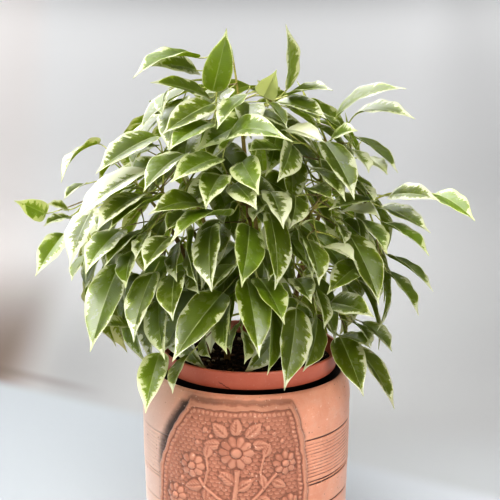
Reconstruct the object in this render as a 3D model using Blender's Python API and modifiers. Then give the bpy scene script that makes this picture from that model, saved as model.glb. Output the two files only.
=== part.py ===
"""A weeping fig with cream-edged leaves, rooted in a plastic nursery pot that stands in a terracotta pot.

Metres, +Z up. The origin is the centre of the terracotta pot's base, and the plant's front faces -Y.
Leaves on the front are placed where the reference picture shows them: their base and tip are pixels of
that picture, turned into points of the plant by one view. Those on the other sides follow a seeded rule.
"""

import math
import random
from collections import namedtuple

import bmesh
import bpy
from mathutils import Vector
from mathutils.bvhtree import BVHTree

# The terracotta pot
POT_HEIGHT = 0.140
POT_SIDES = 32
POT_FLOOR = 0.012
POT_MOUTH_RADIUS = 0.068
POT_LIP_RADIUS = 0.0705
POT_SHOULDER_RADIUS = 0.0775
POT_SHOULDER_BELOW = 0.025
POT_FOOT_RADIUS = 0.0745
POT_INNER_FOOT_RADIUS = 0.062
POT_INNER_BEND = (0.066, 0.020)
SHOULDER_ROUNDNESS = 2.2
WALL_TAPER = 1.5
GROOVE_DEPTH = 0.0009
GROOVE_HALF = 0.0012
GROOVES_BELOW_MOUTH = (0.0355, 0.0685, 0.0888)
RIBS_BELOW_MOUTH = (0.0385, 0.0660)
RIB_COUNT = 4
PLAQUE_RISE = 0.0022
PLAQUE_ROOT = 0.002
PLAQUE_TOP_BELOW = 0.004
PLAQUE_FOOT_BELOW = 0.112
# Degrees from the front: where the plaque's sides start at its top, and how far they open downwards
PLAQUE_LEFT = (33, 21)
PLAQUE_RIGHT = (25, 10)
PLAQUE_ROWS = 4
PLAQUE_COLUMNS = 8

# The nursery pot
RIM_RADIUS = 0.065
RIM_TOP = POT_HEIGHT + 0.0169
RIM_BAND = 0.0143
RIM_WALL = 0.0022
# How much narrower the rim's band is at its foot, and how high inside it the wall's step ends
RIM_TAPER = 0.0020
RIM_STEP = 0.0015
NURSERY_SIDES = 24
NURSERY_WALL = 0.0015
NURSERY_WALL_RADIUS = 0.0612
NURSERY_FOOT_RADIUS = 0.0500
SEAT_GAP = 0.0003

# The soil
SOIL_BELOW_RIM = 0.0099
SOIL_MOUND = 0.003
SOIL_ROLL = 0.0008
SOIL_RINGS = (0.020, 0.042)
HOLE_DEPTH = 0.025
HOLE_RADIUS = 0.0033
HOLE_SIDES = 6

# The view that the picture was taken in, and the pot's mouth in it
PICTURE_MIDDLE = 250.0
FOCAL_PIXELS = 1605.0
VIEW_DISTANCE = 1.2
VIEW_PITCH = math.radians(14.1)
MOUTH_PIXEL = (249.0, 366.0)
NEAREST_DEPTH = 1.03
DEPTH_STEP = 0.002
DEPTH_STEPS = 160

# The foliage
CANOPY_CENTRE = Vector((-0.014, 0.0, 0.0))
CANOPY_DEPTH_SHARE = 0.92
# Height above the terracotta pot's mouth, and the canopy's radius there
CANOPY_OUTLINE = (
    (-0.020, 0.080),
    (0.000, 0.094),
    (0.030, 0.108),
    (0.065, 0.118),
    (0.105, 0.122),
    (0.145, 0.114),
    (0.185, 0.096),
    (0.220, 0.072),
    (0.245, 0.045),
    (0.262, 0.012),
)
LAYER_STEP = 0.010
STEPS_BACK = 24
STEP_BACK = 0.0025
ROLLS = (0, 12, -12, 24)
NARROWEST_SEEN = 0.15
BLADE_THICKNESS = 0.0011
BLADE_FOLD = math.radians(20)
SEEN_ARCH = 0.05
FILL_ARCH = 0.09
WIDTH_SHARE = 0.43
# Share of the blade's length, and of its half width there
BLADE_STATIONS = ((0.20, 0.86), (0.52, 0.98), (0.86, 0.22))
PLAIN_STATIONS = ((0.34, 1.0), (0.80, 0.36))
# How much the section where the stalk meets the blade turns from the stalk's run to the blade's
BASE_TURN = 0.6
STALK_RADIUS = 0.00065
STALK_LENGTH = 0.011
LONGEST_STALK = 0.034
CLEAR_THICKNESS = 0.0020
CLEAR_WIDTH = 1.06
# Where a twig or a stalk starts, it strays this far from the middle of what carries it
START_STRAY = 0.00025
TWIG_RADII = (0.00105, 0.0008)
STEM_RADII = (0.0024, 0.0011)
STEM_BENDS = 7
# A stem stays upright this far above the soil, then bends towards a point at this share of its height
UPRIGHT_ABOVE_SOIL = 0.004
STEM_LEAN_START = 0.6
STEM_SPREAD_START = 1.2
FORK_SHARES = (0.25, 0.5, 0.75)
# How far back along its carrier a stalk is rooted, and what each metre of twig counts when forks are ranked
ROOT_SUNK = 0.002
TWIG_COST = 0.25
MOST_TRIES = 160
MOST_ROUNDS = 6
TWIG_SWAYS = (0.14, 0.38)
SHORTEST_TWIG = 0.020
SHARPEST_TURN = -0.35
MOST_SIDEWAYS = 0.85
TWIG_LIFTS = (0.0, 1.2)
STEM_CLEAR = 0.0030
TWIG_CLEAR = 0.0013
STALK_CLEAR = 0.0009

Leaf = namedtuple("Leaf", "base tip normal width arch stations")
Obstacle = namedtuple("Obstacle", "tree centre reach owner")

# Rooted cuttings: where each stands in the soil, and where its main stem ends
STEMS = {
    "leafy_stem_middle": ((0.002, 0.004), (-0.012, 0.010, 0.372)),
    "leafy_stem_front_left": ((-0.016, -0.016), (-0.066, -0.058, 0.292)),
    "leafy_stem_front": ((0.004, -0.022), (-0.008, -0.078, 0.286)),
    "leafy_stem_front_right": ((0.020, -0.012), (0.056, -0.052, 0.290)),
    "leafy_stem_right": ((0.030, 0.006), (0.078, 0.020, 0.300)),
    "leafy_stem_left": ((-0.030, 0.004), (-0.094, 0.004, 0.290)),
    "leafy_stem_back_left": ((-0.016, 0.024), (-0.060, 0.064, 0.286)),
    "leafy_stem_back": ((0.006, 0.030), (0.002, 0.082, 0.284)),
    "leafy_stem_back_right": ((0.024, 0.022), (0.046, 0.062, 0.292)),
}

# Leaves seen in the picture, front ones first: the base's and the tip's pixel, the apparent width in
# pixels, the layer behind the canopy's surface, and the blade's real length in millimetres
SEEN_LEAVES = (
    (213, 91, 228, 29, 33, 0, 50),
    (198, 58, 133, 79, 12, 0, 56),
    (197, 71, 150, 65, 20, 1, 50),
    (210, 99, 150, 82, 14, 1, 52),
    (165, 93, 162, 116, 14, 2, 30),
    (212, 104, 162, 135, 26, 0, 52),
    (248, 94, 217, 129, 16, 0, 48),
    (253, 120, 195, 152, 30, 1, 60),
    (210, 123, 168, 150, 22, 0, 52),
    (156, 136, 96, 173, 24, 0, 58),
    (155, 145, 111, 165, 18, 1, 50),
    (225, 148, 292, 142, 24, 0, 60),
    (264, 96, 277, 70, 34, 0, 38),
    (287, 90, 286, 25, 15, 0, 52),
    (288, 95, 333, 90, 8, 0, 45),
    (268, 102, 287, 128, 10, 0, 30),
    (276, 102, 328, 119, 16, 1, 52),
    (295, 109, 321, 122, 12, 1, 40),
    (286, 130, 324, 143, 16, 0, 45),
    (219, 158, 170, 183, 24, 0, 55),
    (184, 154, 143, 191, 22, 0, 56),
    (147, 170, 73, 222, 22, 0, 68),
    (100, 143, 62, 183, 5, 2, 52),
    (85, 184, 64, 200, 8, 2, 30),
    (131, 188, 91, 208, 22, 1, 52),
    (141, 195, 96, 231, 22, 0, 58),
    (162, 198, 108, 231, 24, 0, 60),
    (200, 205, 149, 215, 24, 0, 55),
    (191, 214, 165, 232, 18, 1, 45),
    (170, 237, 144, 271, 24, 0, 50),
    (121, 230, 84, 274, 26, 0, 58),
    (145, 231, 105, 266, 24, 1, 55),
    (149, 232, 136, 260, 14, 1, 36),
    (108, 209, 96, 228, 12, 1, 28),
    (134, 250, 126, 289, 20, 1, 45),
    (93, 209, 70, 267, 26, 0, 56),
    (64, 234, 36, 276, 24, 0, 45),
    (46, 214, 15, 200, 25, 0, 38),
    (68, 210, 46, 204, 9, 0, 24),
    (70, 217, 43, 226, 10, 0, 30),
    (89, 254, 71, 281, 10, 1, 35),
    (242, 162, 260, 194, 40, 0, 52),
    (291, 144, 277, 182, 27, 0, 50),
    (283, 152, 247, 151, 12, 1, 50),
    (298, 228, 312, 278, 18, 2, 52),
    (296, 279, 311, 303, 16, 2, 44),
    (311, 284, 325, 330, 12, 1, 50),
    (182, 240, 176, 282, 14, 2, 48),
    (221, 175, 204, 208, 30, 0, 50),
    (235, 184, 258, 209, 30, 0, 48),
    (270, 192, 283, 228, 28, 0, 50),
    (295, 196, 290, 229, 24, 1, 48),
    (230, 216, 171, 243, 20, 0, 62),
    (194, 230, 196, 283, 18, 1, 56),
    (212, 226, 212, 292, 30, 0, 58),
    (249, 226, 240, 287, 34, 0, 58),
    (269, 213, 277, 290, 27, 0, 60),
    (236, 200, 223, 226, 12, 1, 36),
    (262, 206, 252, 222, 14, 1, 30),
    (235, 265, 212, 291, 18, 1, 48),
    (196, 260, 199, 295, 16, 2, 48),
    (258, 246, 270, 281, 18, 2, 48),
    (246, 279, 258, 358, 36, 0, 62),
    (259, 279, 284, 324, 28, 0, 55),
    (223, 293, 172, 362, 38, 0, 66),
    (120, 264, 91, 352, 36, 0, 68),
    (154, 272, 132, 342, 28, 0, 58),
    (176, 274, 173, 321, 30, 0, 55),
    (160, 296, 165, 359, 26, 1, 58),
    (160, 353, 145, 413, 30, 0, 52),
    (190, 354, 172, 394, 12, 1, 45),
    (129, 326, 104, 326, 14, 2, 36),
    (228, 303, 226, 355, 20, 1, 52),
    (242, 321, 231, 354, 8, 2, 40),
    (240, 288, 229, 336, 20, 3, 52),
    (343, 282, 352, 322, 18, 2, 50),
    (242, 330, 245, 364, 14, 2, 40),
    (205, 335, 210, 358, 12, 2, 38),
    (271, 310, 267, 375, 14, 1, 52),
    (296, 308, 283, 390, 34, 0, 62),
    (317, 317, 303, 372, 20, 1, 55),
    (336, 118, 406, 88, 13, 0, 58),
    (356, 114, 415, 119, 14, 0, 50),
    (355, 137, 398, 172, 10, 0, 50),
    (324, 142, 355, 199, 28, 0, 58),
    (330, 141, 358, 130, 12, 1, 42),
    (310, 168, 346, 201, 14, 1, 50),
    (350, 149, 370, 173, 12, 1, 42),
    (365, 158, 388, 175, 12, 2, 36),
    (355, 181, 375, 202, 6, 1, 38),
    (435, 194, 475, 221, 20, 0, 44),
    (390, 196, 440, 200, 19, 0, 46),
    (380, 207, 430, 233, 16, 0, 50),
    (383, 223, 430, 255, 10, 0, 50),
    (388, 256, 433, 291, 7, 0, 50),
    (386, 271, 419, 315, 12, 0, 48),
    (349, 235, 380, 305, 30, 0, 62),
    (361, 220, 387, 254, 16, 1, 50),
    (373, 201, 329, 210, 14, 1, 50),
    (341, 212, 381, 216, 12, 2, 46),
    (335, 222, 345, 245, 10, 2, 36),
    (310, 188, 333, 200, 12, 2, 40),
    (307, 239, 319, 285, 22, 0, 50),
    (323, 247, 356, 261, 18, 0, 46),
    (361, 264, 327, 294, 24, 0, 50),
    (361, 272, 379, 303, 16, 1, 44),
    (330, 303, 375, 317, 26, 0, 52),
    (362, 322, 392, 352, 15, 0, 46),
    (353, 322, 371, 347, 8, 1, 40),
    (340, 337, 364, 396, 33, 0, 56),
    (355, 346, 395, 409, 17, 0, 56),
    (340, 336, 371, 348, 12, 1, 42),
)

# How much the most arched ones rise over their chord, by their base's pixel
ARCHED_LEAVES = {
    (225, 148): 0.24,
    (100, 143): 0.13,
    (198, 58): 0.13,
    (356, 114): 0.11,
    (336, 118): 0.12,
    (230, 216): 0.12,
    (200, 205): 0.10,
    (390, 196): 0.08,
    (435, 194): 0.08,
}

FILL_SEED = 7
GROWTH_SEED = 11
FILL_COUNT = 156
FILL_LENGTHS = (0.050, 0.064)
FILL_STEPS_IN = 8
FILL_STEP_IN = 0.004
FILL_TURNS = (0, 0.3, -0.3, 0.6, -0.6)
FRONT_SIDE = -0.25
FRONT_FILL_DEPTH = 0.030
BACK_FILL_DEPTH = 0.016
# The dense part of the canopy as the picture shows it: leaves placed by the rule stay inside it
PICTURE_OUTLINE = (
    (98, 335), (86, 285), (78, 255), (92, 215), (90, 188), (106, 162), (128, 140), (160, 116),
    (172, 96), (205, 84), (250, 84), (292, 95), (330, 114), (350, 135), (366, 165), (374, 200),
    (386, 235), (390, 270), (384, 300), (386, 330), (376, 362), (340, 376), (245, 376), (150, 368),
)


def clear_scene():
    for thing in list(bpy.data.objects):
        bpy.data.objects.remove(thing)


def new_collection(name):
    collection = bpy.data.collections.new(name)
    bpy.context.scene.collection.children.link(collection)
    return collection


def material(name, colour, roughness):
    made = bpy.data.materials.new(name)
    made.use_nodes = True
    shader = made.node_tree.nodes["Principled BSDF"]
    shader.inputs["Base Color"].default_value = (*colour, 1.0)
    shader.inputs["Roughness"].default_value = roughness
    shader.inputs["Metallic"].default_value = 0.0
    return made


def mesh_object(name, points, faces, collection):
    """An object of a closed mesh, its faces turned outwards."""
    mesh = bpy.data.meshes.new(name)
    mesh.from_pydata([tuple(p) for p in points], [], faces)
    shape = bmesh.new()
    shape.from_mesh(mesh)
    bmesh.ops.recalc_face_normals(shape, faces=shape.faces)
    shape.to_mesh(mesh)
    shape.free()
    made = bpy.data.objects.new(name, mesh)
    collection.objects.link(made)
    return made


def evaluated_mesh(thing):
    graph = bpy.context.evaluated_depsgraph_get()
    return bpy.data.meshes.new_from_object(thing.evaluated_get(graph))


def turned(name, profile, sides, collection):
    """A solid turned round the Z axis, from a profile that runs up its inner side and down its outer one."""
    mesh = bpy.data.meshes.new(name)
    points = [(radius, 0.0, height) for radius, height in profile]
    edges = [(i, i + 1) for i in range(len(points) - 1)]
    mesh.from_pydata(points, edges, [])
    made = bpy.data.objects.new(name, mesh)
    collection.objects.link(made)
    screw = made.modifiers.new("turn", "SCREW")
    screw.steps = sides
    screw.render_steps = sides
    screw.use_merge_vertices = True
    screw.merge_threshold = 0.00001
    return made


def union(base, collection, solver):
    """Joins a collection's objects to the base object, and removes them."""
    join = base.modifiers.new("join", "BOOLEAN")
    join.operation = "UNION"
    join.operand_type = "COLLECTION"
    join.collection = collection
    join.solver = solver
    joined = evaluated_mesh(base)
    base.modifiers.clear()
    base.data = joined
    for thing in list(collection.objects):
        bpy.data.objects.remove(thing)
    bpy.data.collections.remove(collection)


def cut(base, collection):
    """Cuts a collection's objects out of the base object, and removes them."""
    away = base.modifiers.new("cut", "BOOLEAN")
    away.operation = "DIFFERENCE"
    away.operand_type = "COLLECTION"
    away.collection = collection
    away.solver = "EXACT"
    left = evaluated_mesh(base)
    base.modifiers.clear()
    base.data = left
    for thing in list(collection.objects):
        bpy.data.objects.remove(thing)
    bpy.data.collections.remove(collection)


def pot_wall_radius(below):
    """The terracotta pot's outer radius at a depth below its mouth, without grooves and ribs."""
    if below < POT_SHOULDER_BELOW:
        share = 1.0 - below / POT_SHOULDER_BELOW
        return POT_SHOULDER_RADIUS - (POT_SHOULDER_RADIUS - POT_LIP_RADIUS) * share**SHOULDER_ROUNDNESS
    share = (below - POT_SHOULDER_BELOW) / (POT_HEIGHT - POT_SHOULDER_BELOW)
    return POT_SHOULDER_RADIUS - (POT_SHOULDER_RADIUS - POT_FOOT_RADIUS) * share**WALL_TAPER


def terracotta_pot(collection, clay):
    outer = [(pot_wall_radius(below), below) for below in (0.0015, 0.005, 0.012, 0.025, 0.031, 0.120)]
    for middle in GROOVES_BELOW_MOUTH:
        for offset, depth in ((-GROOVE_HALF, 0.0), (0.0, GROOVE_DEPTH), (GROOVE_HALF, 0.0)):
            outer.append((pot_wall_radius(middle + offset) - depth, middle + offset))
    first, last = RIBS_BELOW_MOUTH
    pitch = (last - first) / RIB_COUNT
    for rib in range(RIB_COUNT):
        valley = first + pitch * rib
        crest = valley + pitch / 2
        outer.append((pot_wall_radius(valley) - GROOVE_DEPTH / 2, valley))
        outer.append((pot_wall_radius(crest) + GROOVE_DEPTH / 2, crest))
    outer.sort(key=lambda point: point[1])
    profile = [
        (0.0, POT_FLOOR),
        (POT_INNER_FOOT_RADIUS, POT_FLOOR),
        POT_INNER_BEND,
        (POT_MOUTH_RADIUS - 0.001, POT_HEIGHT - 0.010),
        (POT_MOUTH_RADIUS, POT_HEIGHT - 0.0005),
        (POT_MOUTH_RADIUS + 0.0008, POT_HEIGHT),
        (POT_LIP_RADIUS - 0.0007, POT_HEIGHT),
    ]
    profile += [(radius, POT_HEIGHT - below) for radius, below in outer]
    profile += [(POT_FOOT_RADIUS, 0.002), (POT_FOOT_RADIUS - 0.002, 0.0), (0.0, 0.0)]
    pot = turned("outer_pot", profile, POT_SIDES, collection)
    pot.data = evaluated_mesh(pot)
    pot.modifiers.clear()
    pieces = new_collection("plaque pieces")
    plaque(pieces)
    union(pot, pieces, "EXACT")
    pot.data.materials.append(clay)
    return pot


def plaque_edge(along):
    """Left and right edge of the raised plaque, as angles from the front, at a share of its height."""
    opened = math.sin(along * math.pi / 2)
    left = -math.radians(PLAQUE_LEFT[0] + PLAQUE_LEFT[1] * opened)
    right = math.radians(PLAQUE_RIGHT[0] + PLAQUE_RIGHT[1] * opened)
    return left, right


def plaque(collection):
    """A raised plaque that widens downwards, wrapped on the front of the pot's wall."""
    rows, columns = PLAQUE_ROWS, PLAQUE_COLUMNS
    points, faces = [], []
    for outward in (-PLAQUE_ROOT, PLAQUE_RISE):
        for row in range(rows + 1):
            along = row / rows
            below = PLAQUE_TOP_BELOW + (PLAQUE_FOOT_BELOW - PLAQUE_TOP_BELOW) * along
            left, right = plaque_edge(along)
            for column in range(columns + 1):
                angle = left + (right - left) * column / columns
                radius = pot_wall_radius(below) + outward
                points.append(
                    (radius * math.sin(angle), -radius * math.cos(angle), POT_HEIGHT - below)
                )
    wide = columns + 1
    layer = wide * (rows + 1)
    for row in range(rows):
        for column in range(columns):
            here = row * wide + column
            faces.append((here, here + 1, here + wide + 1, here + wide))
            faces.append((layer + here, layer + here + wide, layer + here + wide + 1, layer + here + 1))
    rim = [column for column in range(wide)]
    rim += [row * wide + columns for row in range(1, rows + 1)]
    rim += [rows * wide + column for column in range(columns - 1, -1, -1)]
    rim += [row * wide for row in range(rows - 1, 0, -1)]
    for here, there in zip(rim, rim[1:] + rim[:1]):
        faces.append((here, layer + here, layer + there, there))
    return mesh_object("plaque", points, faces, collection)


def nursery_inner_radius(height):
    """The nursery pot's inner radius at a height, between its floor and its rim band."""
    foot = POT_FLOOR + SEAT_GAP
    share = (height - foot) / (RIM_TOP - RIM_BAND - foot)
    return NURSERY_FOOT_RADIUS + (NURSERY_WALL_RADIUS - NURSERY_FOOT_RADIUS) * share - NURSERY_WALL


def nursery_pot(collection, plastic):
    foot = POT_FLOOR + SEAT_GAP
    floor = foot + NURSERY_WALL
    band_foot = RIM_TOP - RIM_BAND
    inner_top = RIM_RADIUS - RIM_WALL
    profile = [
        (0.0, floor),
        (nursery_inner_radius(floor), floor),
        (nursery_inner_radius(band_foot), band_foot),
        (inner_top - RIM_TAPER, band_foot + RIM_STEP),
        (inner_top, RIM_TOP - 0.0008),
        (inner_top + 0.0008, RIM_TOP),
        (RIM_RADIUS - 0.0006, RIM_TOP),
        (RIM_RADIUS, RIM_TOP - 0.001),
        (RIM_RADIUS - RIM_TAPER, band_foot),
        (NURSERY_WALL_RADIUS, band_foot + 0.0008),
        (NURSERY_FOOT_RADIUS, foot + 0.001),
        (NURSERY_FOOT_RADIUS - 0.001, foot),
        (0.0, foot),
    ]
    pot = turned("nursery_pot", profile, NURSERY_SIDES, collection)
    pot.data = evaluated_mesh(pot)
    pot.modifiers.clear()
    pot.data.materials.append(plastic)
    return pot


def soil_height(x, y):
    """The soil's surface: a low mound with a gentle roll."""
    away = math.hypot(x, y) / RIM_RADIUS
    roll = SOIL_ROLL * math.sin(90 * x + 1.0) * math.cos(110 * y)
    return RIM_TOP - SOIL_BELOW_RIM + SOIL_MOUND * (1 - away**2) + roll


def soil(collection, earth):
    floor = POT_FLOOR + 2 * SEAT_GAP + NURSERY_WALL
    band_foot = RIM_TOP - RIM_BAND
    edge_height = RIM_TOP - SOIL_BELOW_RIM
    edge_radius = RIM_RADIUS - RIM_WALL - RIM_TAPER - SEAT_GAP * 2
    profile = [(0.0, edge_height + SOIL_MOUND)]
    profile += [(radius, edge_height) for radius in SOIL_RINGS]
    profile += [
        (edge_radius, edge_height),
        (edge_radius, band_foot + RIM_STEP + 0.0012),
        (nursery_inner_radius(band_foot) - 2 * SEAT_GAP, band_foot),
        (nursery_inner_radius(floor) - 2 * SEAT_GAP, floor),
        (0.0, floor),
    ]
    ball = turned("soil", profile, NURSERY_SIDES, collection)
    ball.data = evaluated_mesh(ball)
    ball.modifiers.clear()
    for vertex in ball.data.vertices:
        if vertex.co.z > edge_height - 0.0001 and math.hypot(vertex.co.x, vertex.co.y) < edge_radius * 0.99:
            vertex.co.z = soil_height(vertex.co.x, vertex.co.y)
    cutters = new_collection("stem holes")
    for name, (root, _) in STEMS.items():
        middle = hole_bottom(root) + 0.05
        bpy.ops.mesh.primitive_cylinder_add(
            vertices=HOLE_SIDES,
            radius=HOLE_RADIUS,
            depth=0.1,
            location=(root[0], root[1], middle),
        )
        cutter = bpy.context.object
        for holder in list(cutter.users_collection):
            holder.objects.unlink(cutter)
        cutters.objects.link(cutter)
    cut(ball, cutters)
    ball.data.materials.append(earth)
    return ball


def hole_bottom(root):
    return soil_height(*root) - HOLE_DEPTH


def view_axes():
    right = Vector((1, 0, 0))
    ahead = Vector((0, math.cos(VIEW_PITCH), -math.sin(VIEW_PITCH)))
    up = Vector((0, math.sin(VIEW_PITCH), math.cos(VIEW_PITCH)))
    return right, ahead, up


def ray_through(x, y):
    """From the eye through a pixel, one metre deep along the view's axis."""
    right, ahead, up = view_axes()
    return ahead + right * (x - PICTURE_MIDDLE) / FOCAL_PIXELS - up * (y - PICTURE_MIDDLE) / FOCAL_PIXELS


def eye_point():
    """The eye stands where the pot's mouth falls on its pixel at the view's distance."""
    return Vector((0, 0, POT_HEIGHT)) - ray_through(*MOUTH_PIXEL) * VIEW_DISTANCE


EYE = eye_point()


def outside_canopy(point):
    """How far a point is outside the canopy's surface, negative inside it."""
    height = point.z - POT_HEIGHT
    x = point.x - CANOPY_CENTRE.x
    y = (point.y - CANOPY_CENTRE.y) / CANOPY_DEPTH_SHARE
    first, last = CANOPY_OUTLINE[0], CANOPY_OUTLINE[-1]
    if height <= first[0]:
        return math.hypot(x, y) - first[1] + (first[0] - height)
    if height >= last[0]:
        return math.hypot(x, y) - last[1] + (height - last[0])
    return math.hypot(x, y) - canopy_radius(height)


def canopy_radius(height):
    """The canopy's radius at a height above the pot's mouth."""
    for (low, narrow), (high, wide) in zip(CANOPY_OUTLINE, CANOPY_OUTLINE[1:]):
        if height <= high:
            return narrow + (wide - narrow) * (height - low) / (high - low)
    return CANOPY_OUTLINE[-1][1]


def canopy_depth(x, y):
    """Depth from the eye at which the ray through a pixel meets the canopy, or comes nearest to it."""
    ray = ray_through(x, y)
    nearest, best = VIEW_DISTANCE, 1.0
    for step in range(DEPTH_STEPS):
        depth = NEAREST_DEPTH + DEPTH_STEP * step
        outside = outside_canopy(EYE + ray * depth)
        if outside <= 0:
            return depth
        if outside < best - 0.0005:
            nearest, best = depth, outside
    return nearest


def picture_point(point):
    """The pixel at which the view shows a point."""
    right, ahead, up = view_axes()
    offset = point - EYE
    scale = FOCAL_PIXELS / offset.dot(ahead)
    return PICTURE_MIDDLE + offset.dot(right) * scale, PICTURE_MIDDLE - offset.dot(up) * scale


def inside_outline(point):
    """Whether the view shows a point within PICTURE_OUTLINE."""
    x, y = picture_point(point)
    inside = False
    for (from_x, from_y), (to_x, to_y) in zip(PICTURE_OUTLINE, PICTURE_OUTLINE[1:] + PICTURE_OUTLINE[:1]):
        if (from_y > y) != (to_y > y) and x < from_x + (to_x - from_x) * (y - from_y) / (to_y - from_y):
            inside = not inside
    return inside


def tip_on_ray(base, ray, length):
    """The point of a ray at a leaf's length from its base, on the viewer's side."""
    offset = EYE - base
    along = ray.dot(offset)
    square = ray.dot(ray)
    inside = along * along - square * (offset.dot(offset) - length * length)
    depth = (-along - math.sqrt(max(inside, 0.0))) / square
    return EYE + ray * depth


def seen_leaf(row, set_back, roll):
    """The leaf of a row of SEEN_LEAVES, moved back along its rays and rolled about its axis."""
    base_x, base_y, tip_x, tip_y, width_pixels, layer, length = row
    length = length / 1000
    depth = canopy_depth((base_x + tip_x) / 2, (base_y + tip_y) / 2) + layer * LAYER_STEP + set_back
    seen_length = math.hypot(tip_x - base_x, tip_y - base_y) * depth / FOCAL_PIXELS
    towards = math.sqrt(max(length**2 - seen_length**2, 0.0))
    base = EYE + ray_through(base_x, base_y) * (depth + towards / 2)
    tip = tip_on_ray(base, ray_through(tip_x, tip_y), length)
    axis = (tip - base).normalized()
    to_eye = (EYE - base).normalized()
    facing = (to_eye - axis * to_eye.dot(axis)).normalized()
    side = axis.cross(facing)
    length = (tip - base).length
    width = length * WIDTH_SHARE
    seen_share = width_pixels * depth / FOCAL_PIXELS / width
    angle = math.acos(min(max(seen_share, NARROWEST_SEEN), 1.0))
    wanted = outward_and_up(base)
    if (facing * math.cos(angle) + side * math.sin(angle)).dot(wanted) < (
        facing * math.cos(angle) - side * math.sin(angle)
    ).dot(wanted):
        angle = -angle
    angle += roll
    normal = facing * math.cos(angle) + side * math.sin(angle)
    arch = ARCHED_LEAVES.get((base_x, base_y), SEEN_ARCH)
    return Leaf(base, tip, normal, width, arch, BLADE_STATIONS)


def outward_and_up(point):
    outward = Vector((point.x - CANOPY_CENTRE.x, point.y - CANOPY_CENTRE.y, 0))
    if outward.length > 0:
        outward.normalize()
    return (outward * 0.6 + Vector((0, 0, 0.8))).normalized()


def leaf_shell(leaf, root=None, thickness=BLADE_THICKNESS, widen=1.0):
    """Points and triangles of a leaf: a folded, arched blade of lens-shaped section, on its stalk.

    Each section of the blade is the left edge, the top of the midrib, the right edge and its underside.
    The stalk is three-sided, from its root to the blade's base.
    """
    chord = leaf.tip - leaf.base
    axis = chord.normalized()
    side = axis.cross(leaf.normal).normalized()
    sections = []
    for along, share in leaf.stations:
        rise = leaf.arch * chord.length * 4 * along * (1 - along)
        middle = leaf.base + chord * along + leaf.normal * rise
        half = share * widen * leaf.width / 2
        lift = leaf.normal * half * math.sin(BLADE_FOLD)
        reach = side * half * math.cos(BLADE_FOLD)
        thick = leaf.normal * thickness / 2
        sections.append((middle - reach + lift, middle + thick, middle + reach + lift, middle - thick))
    if root is None:
        points = [leaf.base]
        faces = [(0, 1 + corner, 1 + (corner + 1) % 4) for corner in range(4)]
    else:
        out = (leaf.base - root).normalized()
        points = stalk_section(root, out, side)
        across = out + axis * BASE_TURN
        points += [point + out * ((leaf.base - point).dot(across) / out.dot(across)) for point in points]
        faces = [(0, 1, 2)]
        for here, there in ((0, 1), (1, 2), (2, 0)):
            faces += [(here, there, there + 3), (here, there + 3, here + 3)]
        left, top, right, under = 6, 7, 8, 9
        faces += [(3, 4, top), (3, top, left), (4, 5, right), (4, right, top)]
        faces += [(5, 3, under), (5, under, right), (3, left, under)]
    first = len(points)
    points += [point for section in sections for point in section]
    points.append(leaf.tip)
    for section in range(len(sections) - 1):
        here = first + 4 * section
        for edge, middle in ((0, 1), (2, 1), (0, 3), (2, 3)):
            faces.append((here + edge, here + middle, here + 4 + middle))
            faces.append((here + edge, here + 4 + middle, here + 4 + edge))
    last = first + 4 * (len(sections) - 1)
    tip = len(points) - 1
    faces += [(last + corner, last + (corner + 1) % 4, tip) for corner in range(4)]
    return points, faces


def stalk_section(point, along, side):
    """Three points round a stalk: left, top and right."""
    across = side - along * (side.dot(along) / along.length_squared)
    across.normalize()
    up = across.cross(along).normalized()
    low = point - up * STALK_RADIUS / 2
    reach = across * STALK_RADIUS * 0.87
    return [low - reach, point + up * STALK_RADIUS, low + reach]


def obstacle(points, faces, owner):
    centre = sum(points, Vector()) / len(points)
    reach = max((point - centre).length for point in points)
    return Obstacle(BVHTree.FromPolygons(points, faces), centre, reach, owner)


def crosses(shape, obstacles):
    """Whether a shape meets any obstacle."""
    for other in obstacles:
        if (other.centre - shape.centre).length > other.reach + shape.reach:
            continue
        if shape.tree.overlap(other.tree):
            return True
    return False


def leaf_guard(leaf):
    """A leaf's blade, a little larger than life, for keeping others clear of it."""
    points, faces = leaf_shell(leaf, None, CLEAR_THICKNESS, CLEAR_WIDTH)
    return obstacle(points, faces, None)


def bend(start, control, end, share):
    return start * (1 - share) ** 2 + control * 2 * share * (1 - share) + end * share**2


def tube_shell(path, radius, sides=4):
    """Points and faces of a plain tube along a path, for clearance tests."""
    points, faces = [], []
    for index, point in enumerate(path):
        along = path[min(index + 1, len(path) - 1)] - path[max(index - 1, 0)]
        across = along.orthogonal().normalized()
        over = along.cross(across).normalized()
        for corner in range(sides):
            turn = 2 * math.pi * corner / sides
            points.append(point + across * radius * math.cos(turn) + over * radius * math.sin(turn))
    for index in range(len(path) - 1):
        for corner in range(sides):
            here = index * sides + corner
            there = index * sides + (corner + 1) % sides
            faces.append((here, there, there + sides, here + sides))
    return points, faces


def tube(name, path, radii, resolution, collection):
    """A tapering round bar along a path, as a welded mesh."""
    curve = bpy.data.curves.new(name, "CURVE")
    curve.dimensions = "3D"
    curve.bevel_depth = 1.0
    curve.bevel_resolution = resolution
    curve.use_fill_caps = True
    spline = curve.splines.new("POLY")
    spline.points.add(len(path) - 1)
    for index, point in enumerate(path):
        share = index / (len(path) - 1)
        spline.points[index].co = (*point, 1.0)
        spline.points[index].radius = radii[0] + (radii[1] - radii[0]) * share
    drawn = bpy.data.objects.new(name, curve)
    collection.objects.link(drawn)
    mesh = evaluated_mesh(drawn)
    bpy.data.objects.remove(drawn)
    shape = bmesh.new()
    shape.from_mesh(mesh)
    bmesh.ops.remove_doubles(shape, verts=shape.verts, dist=0.00002)
    bmesh.ops.recalc_face_normals(shape, faces=shape.faces)
    shape.to_mesh(mesh)
    shape.free()
    made = bpy.data.objects.new(name, mesh)
    collection.objects.link(made)
    return made


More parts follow.
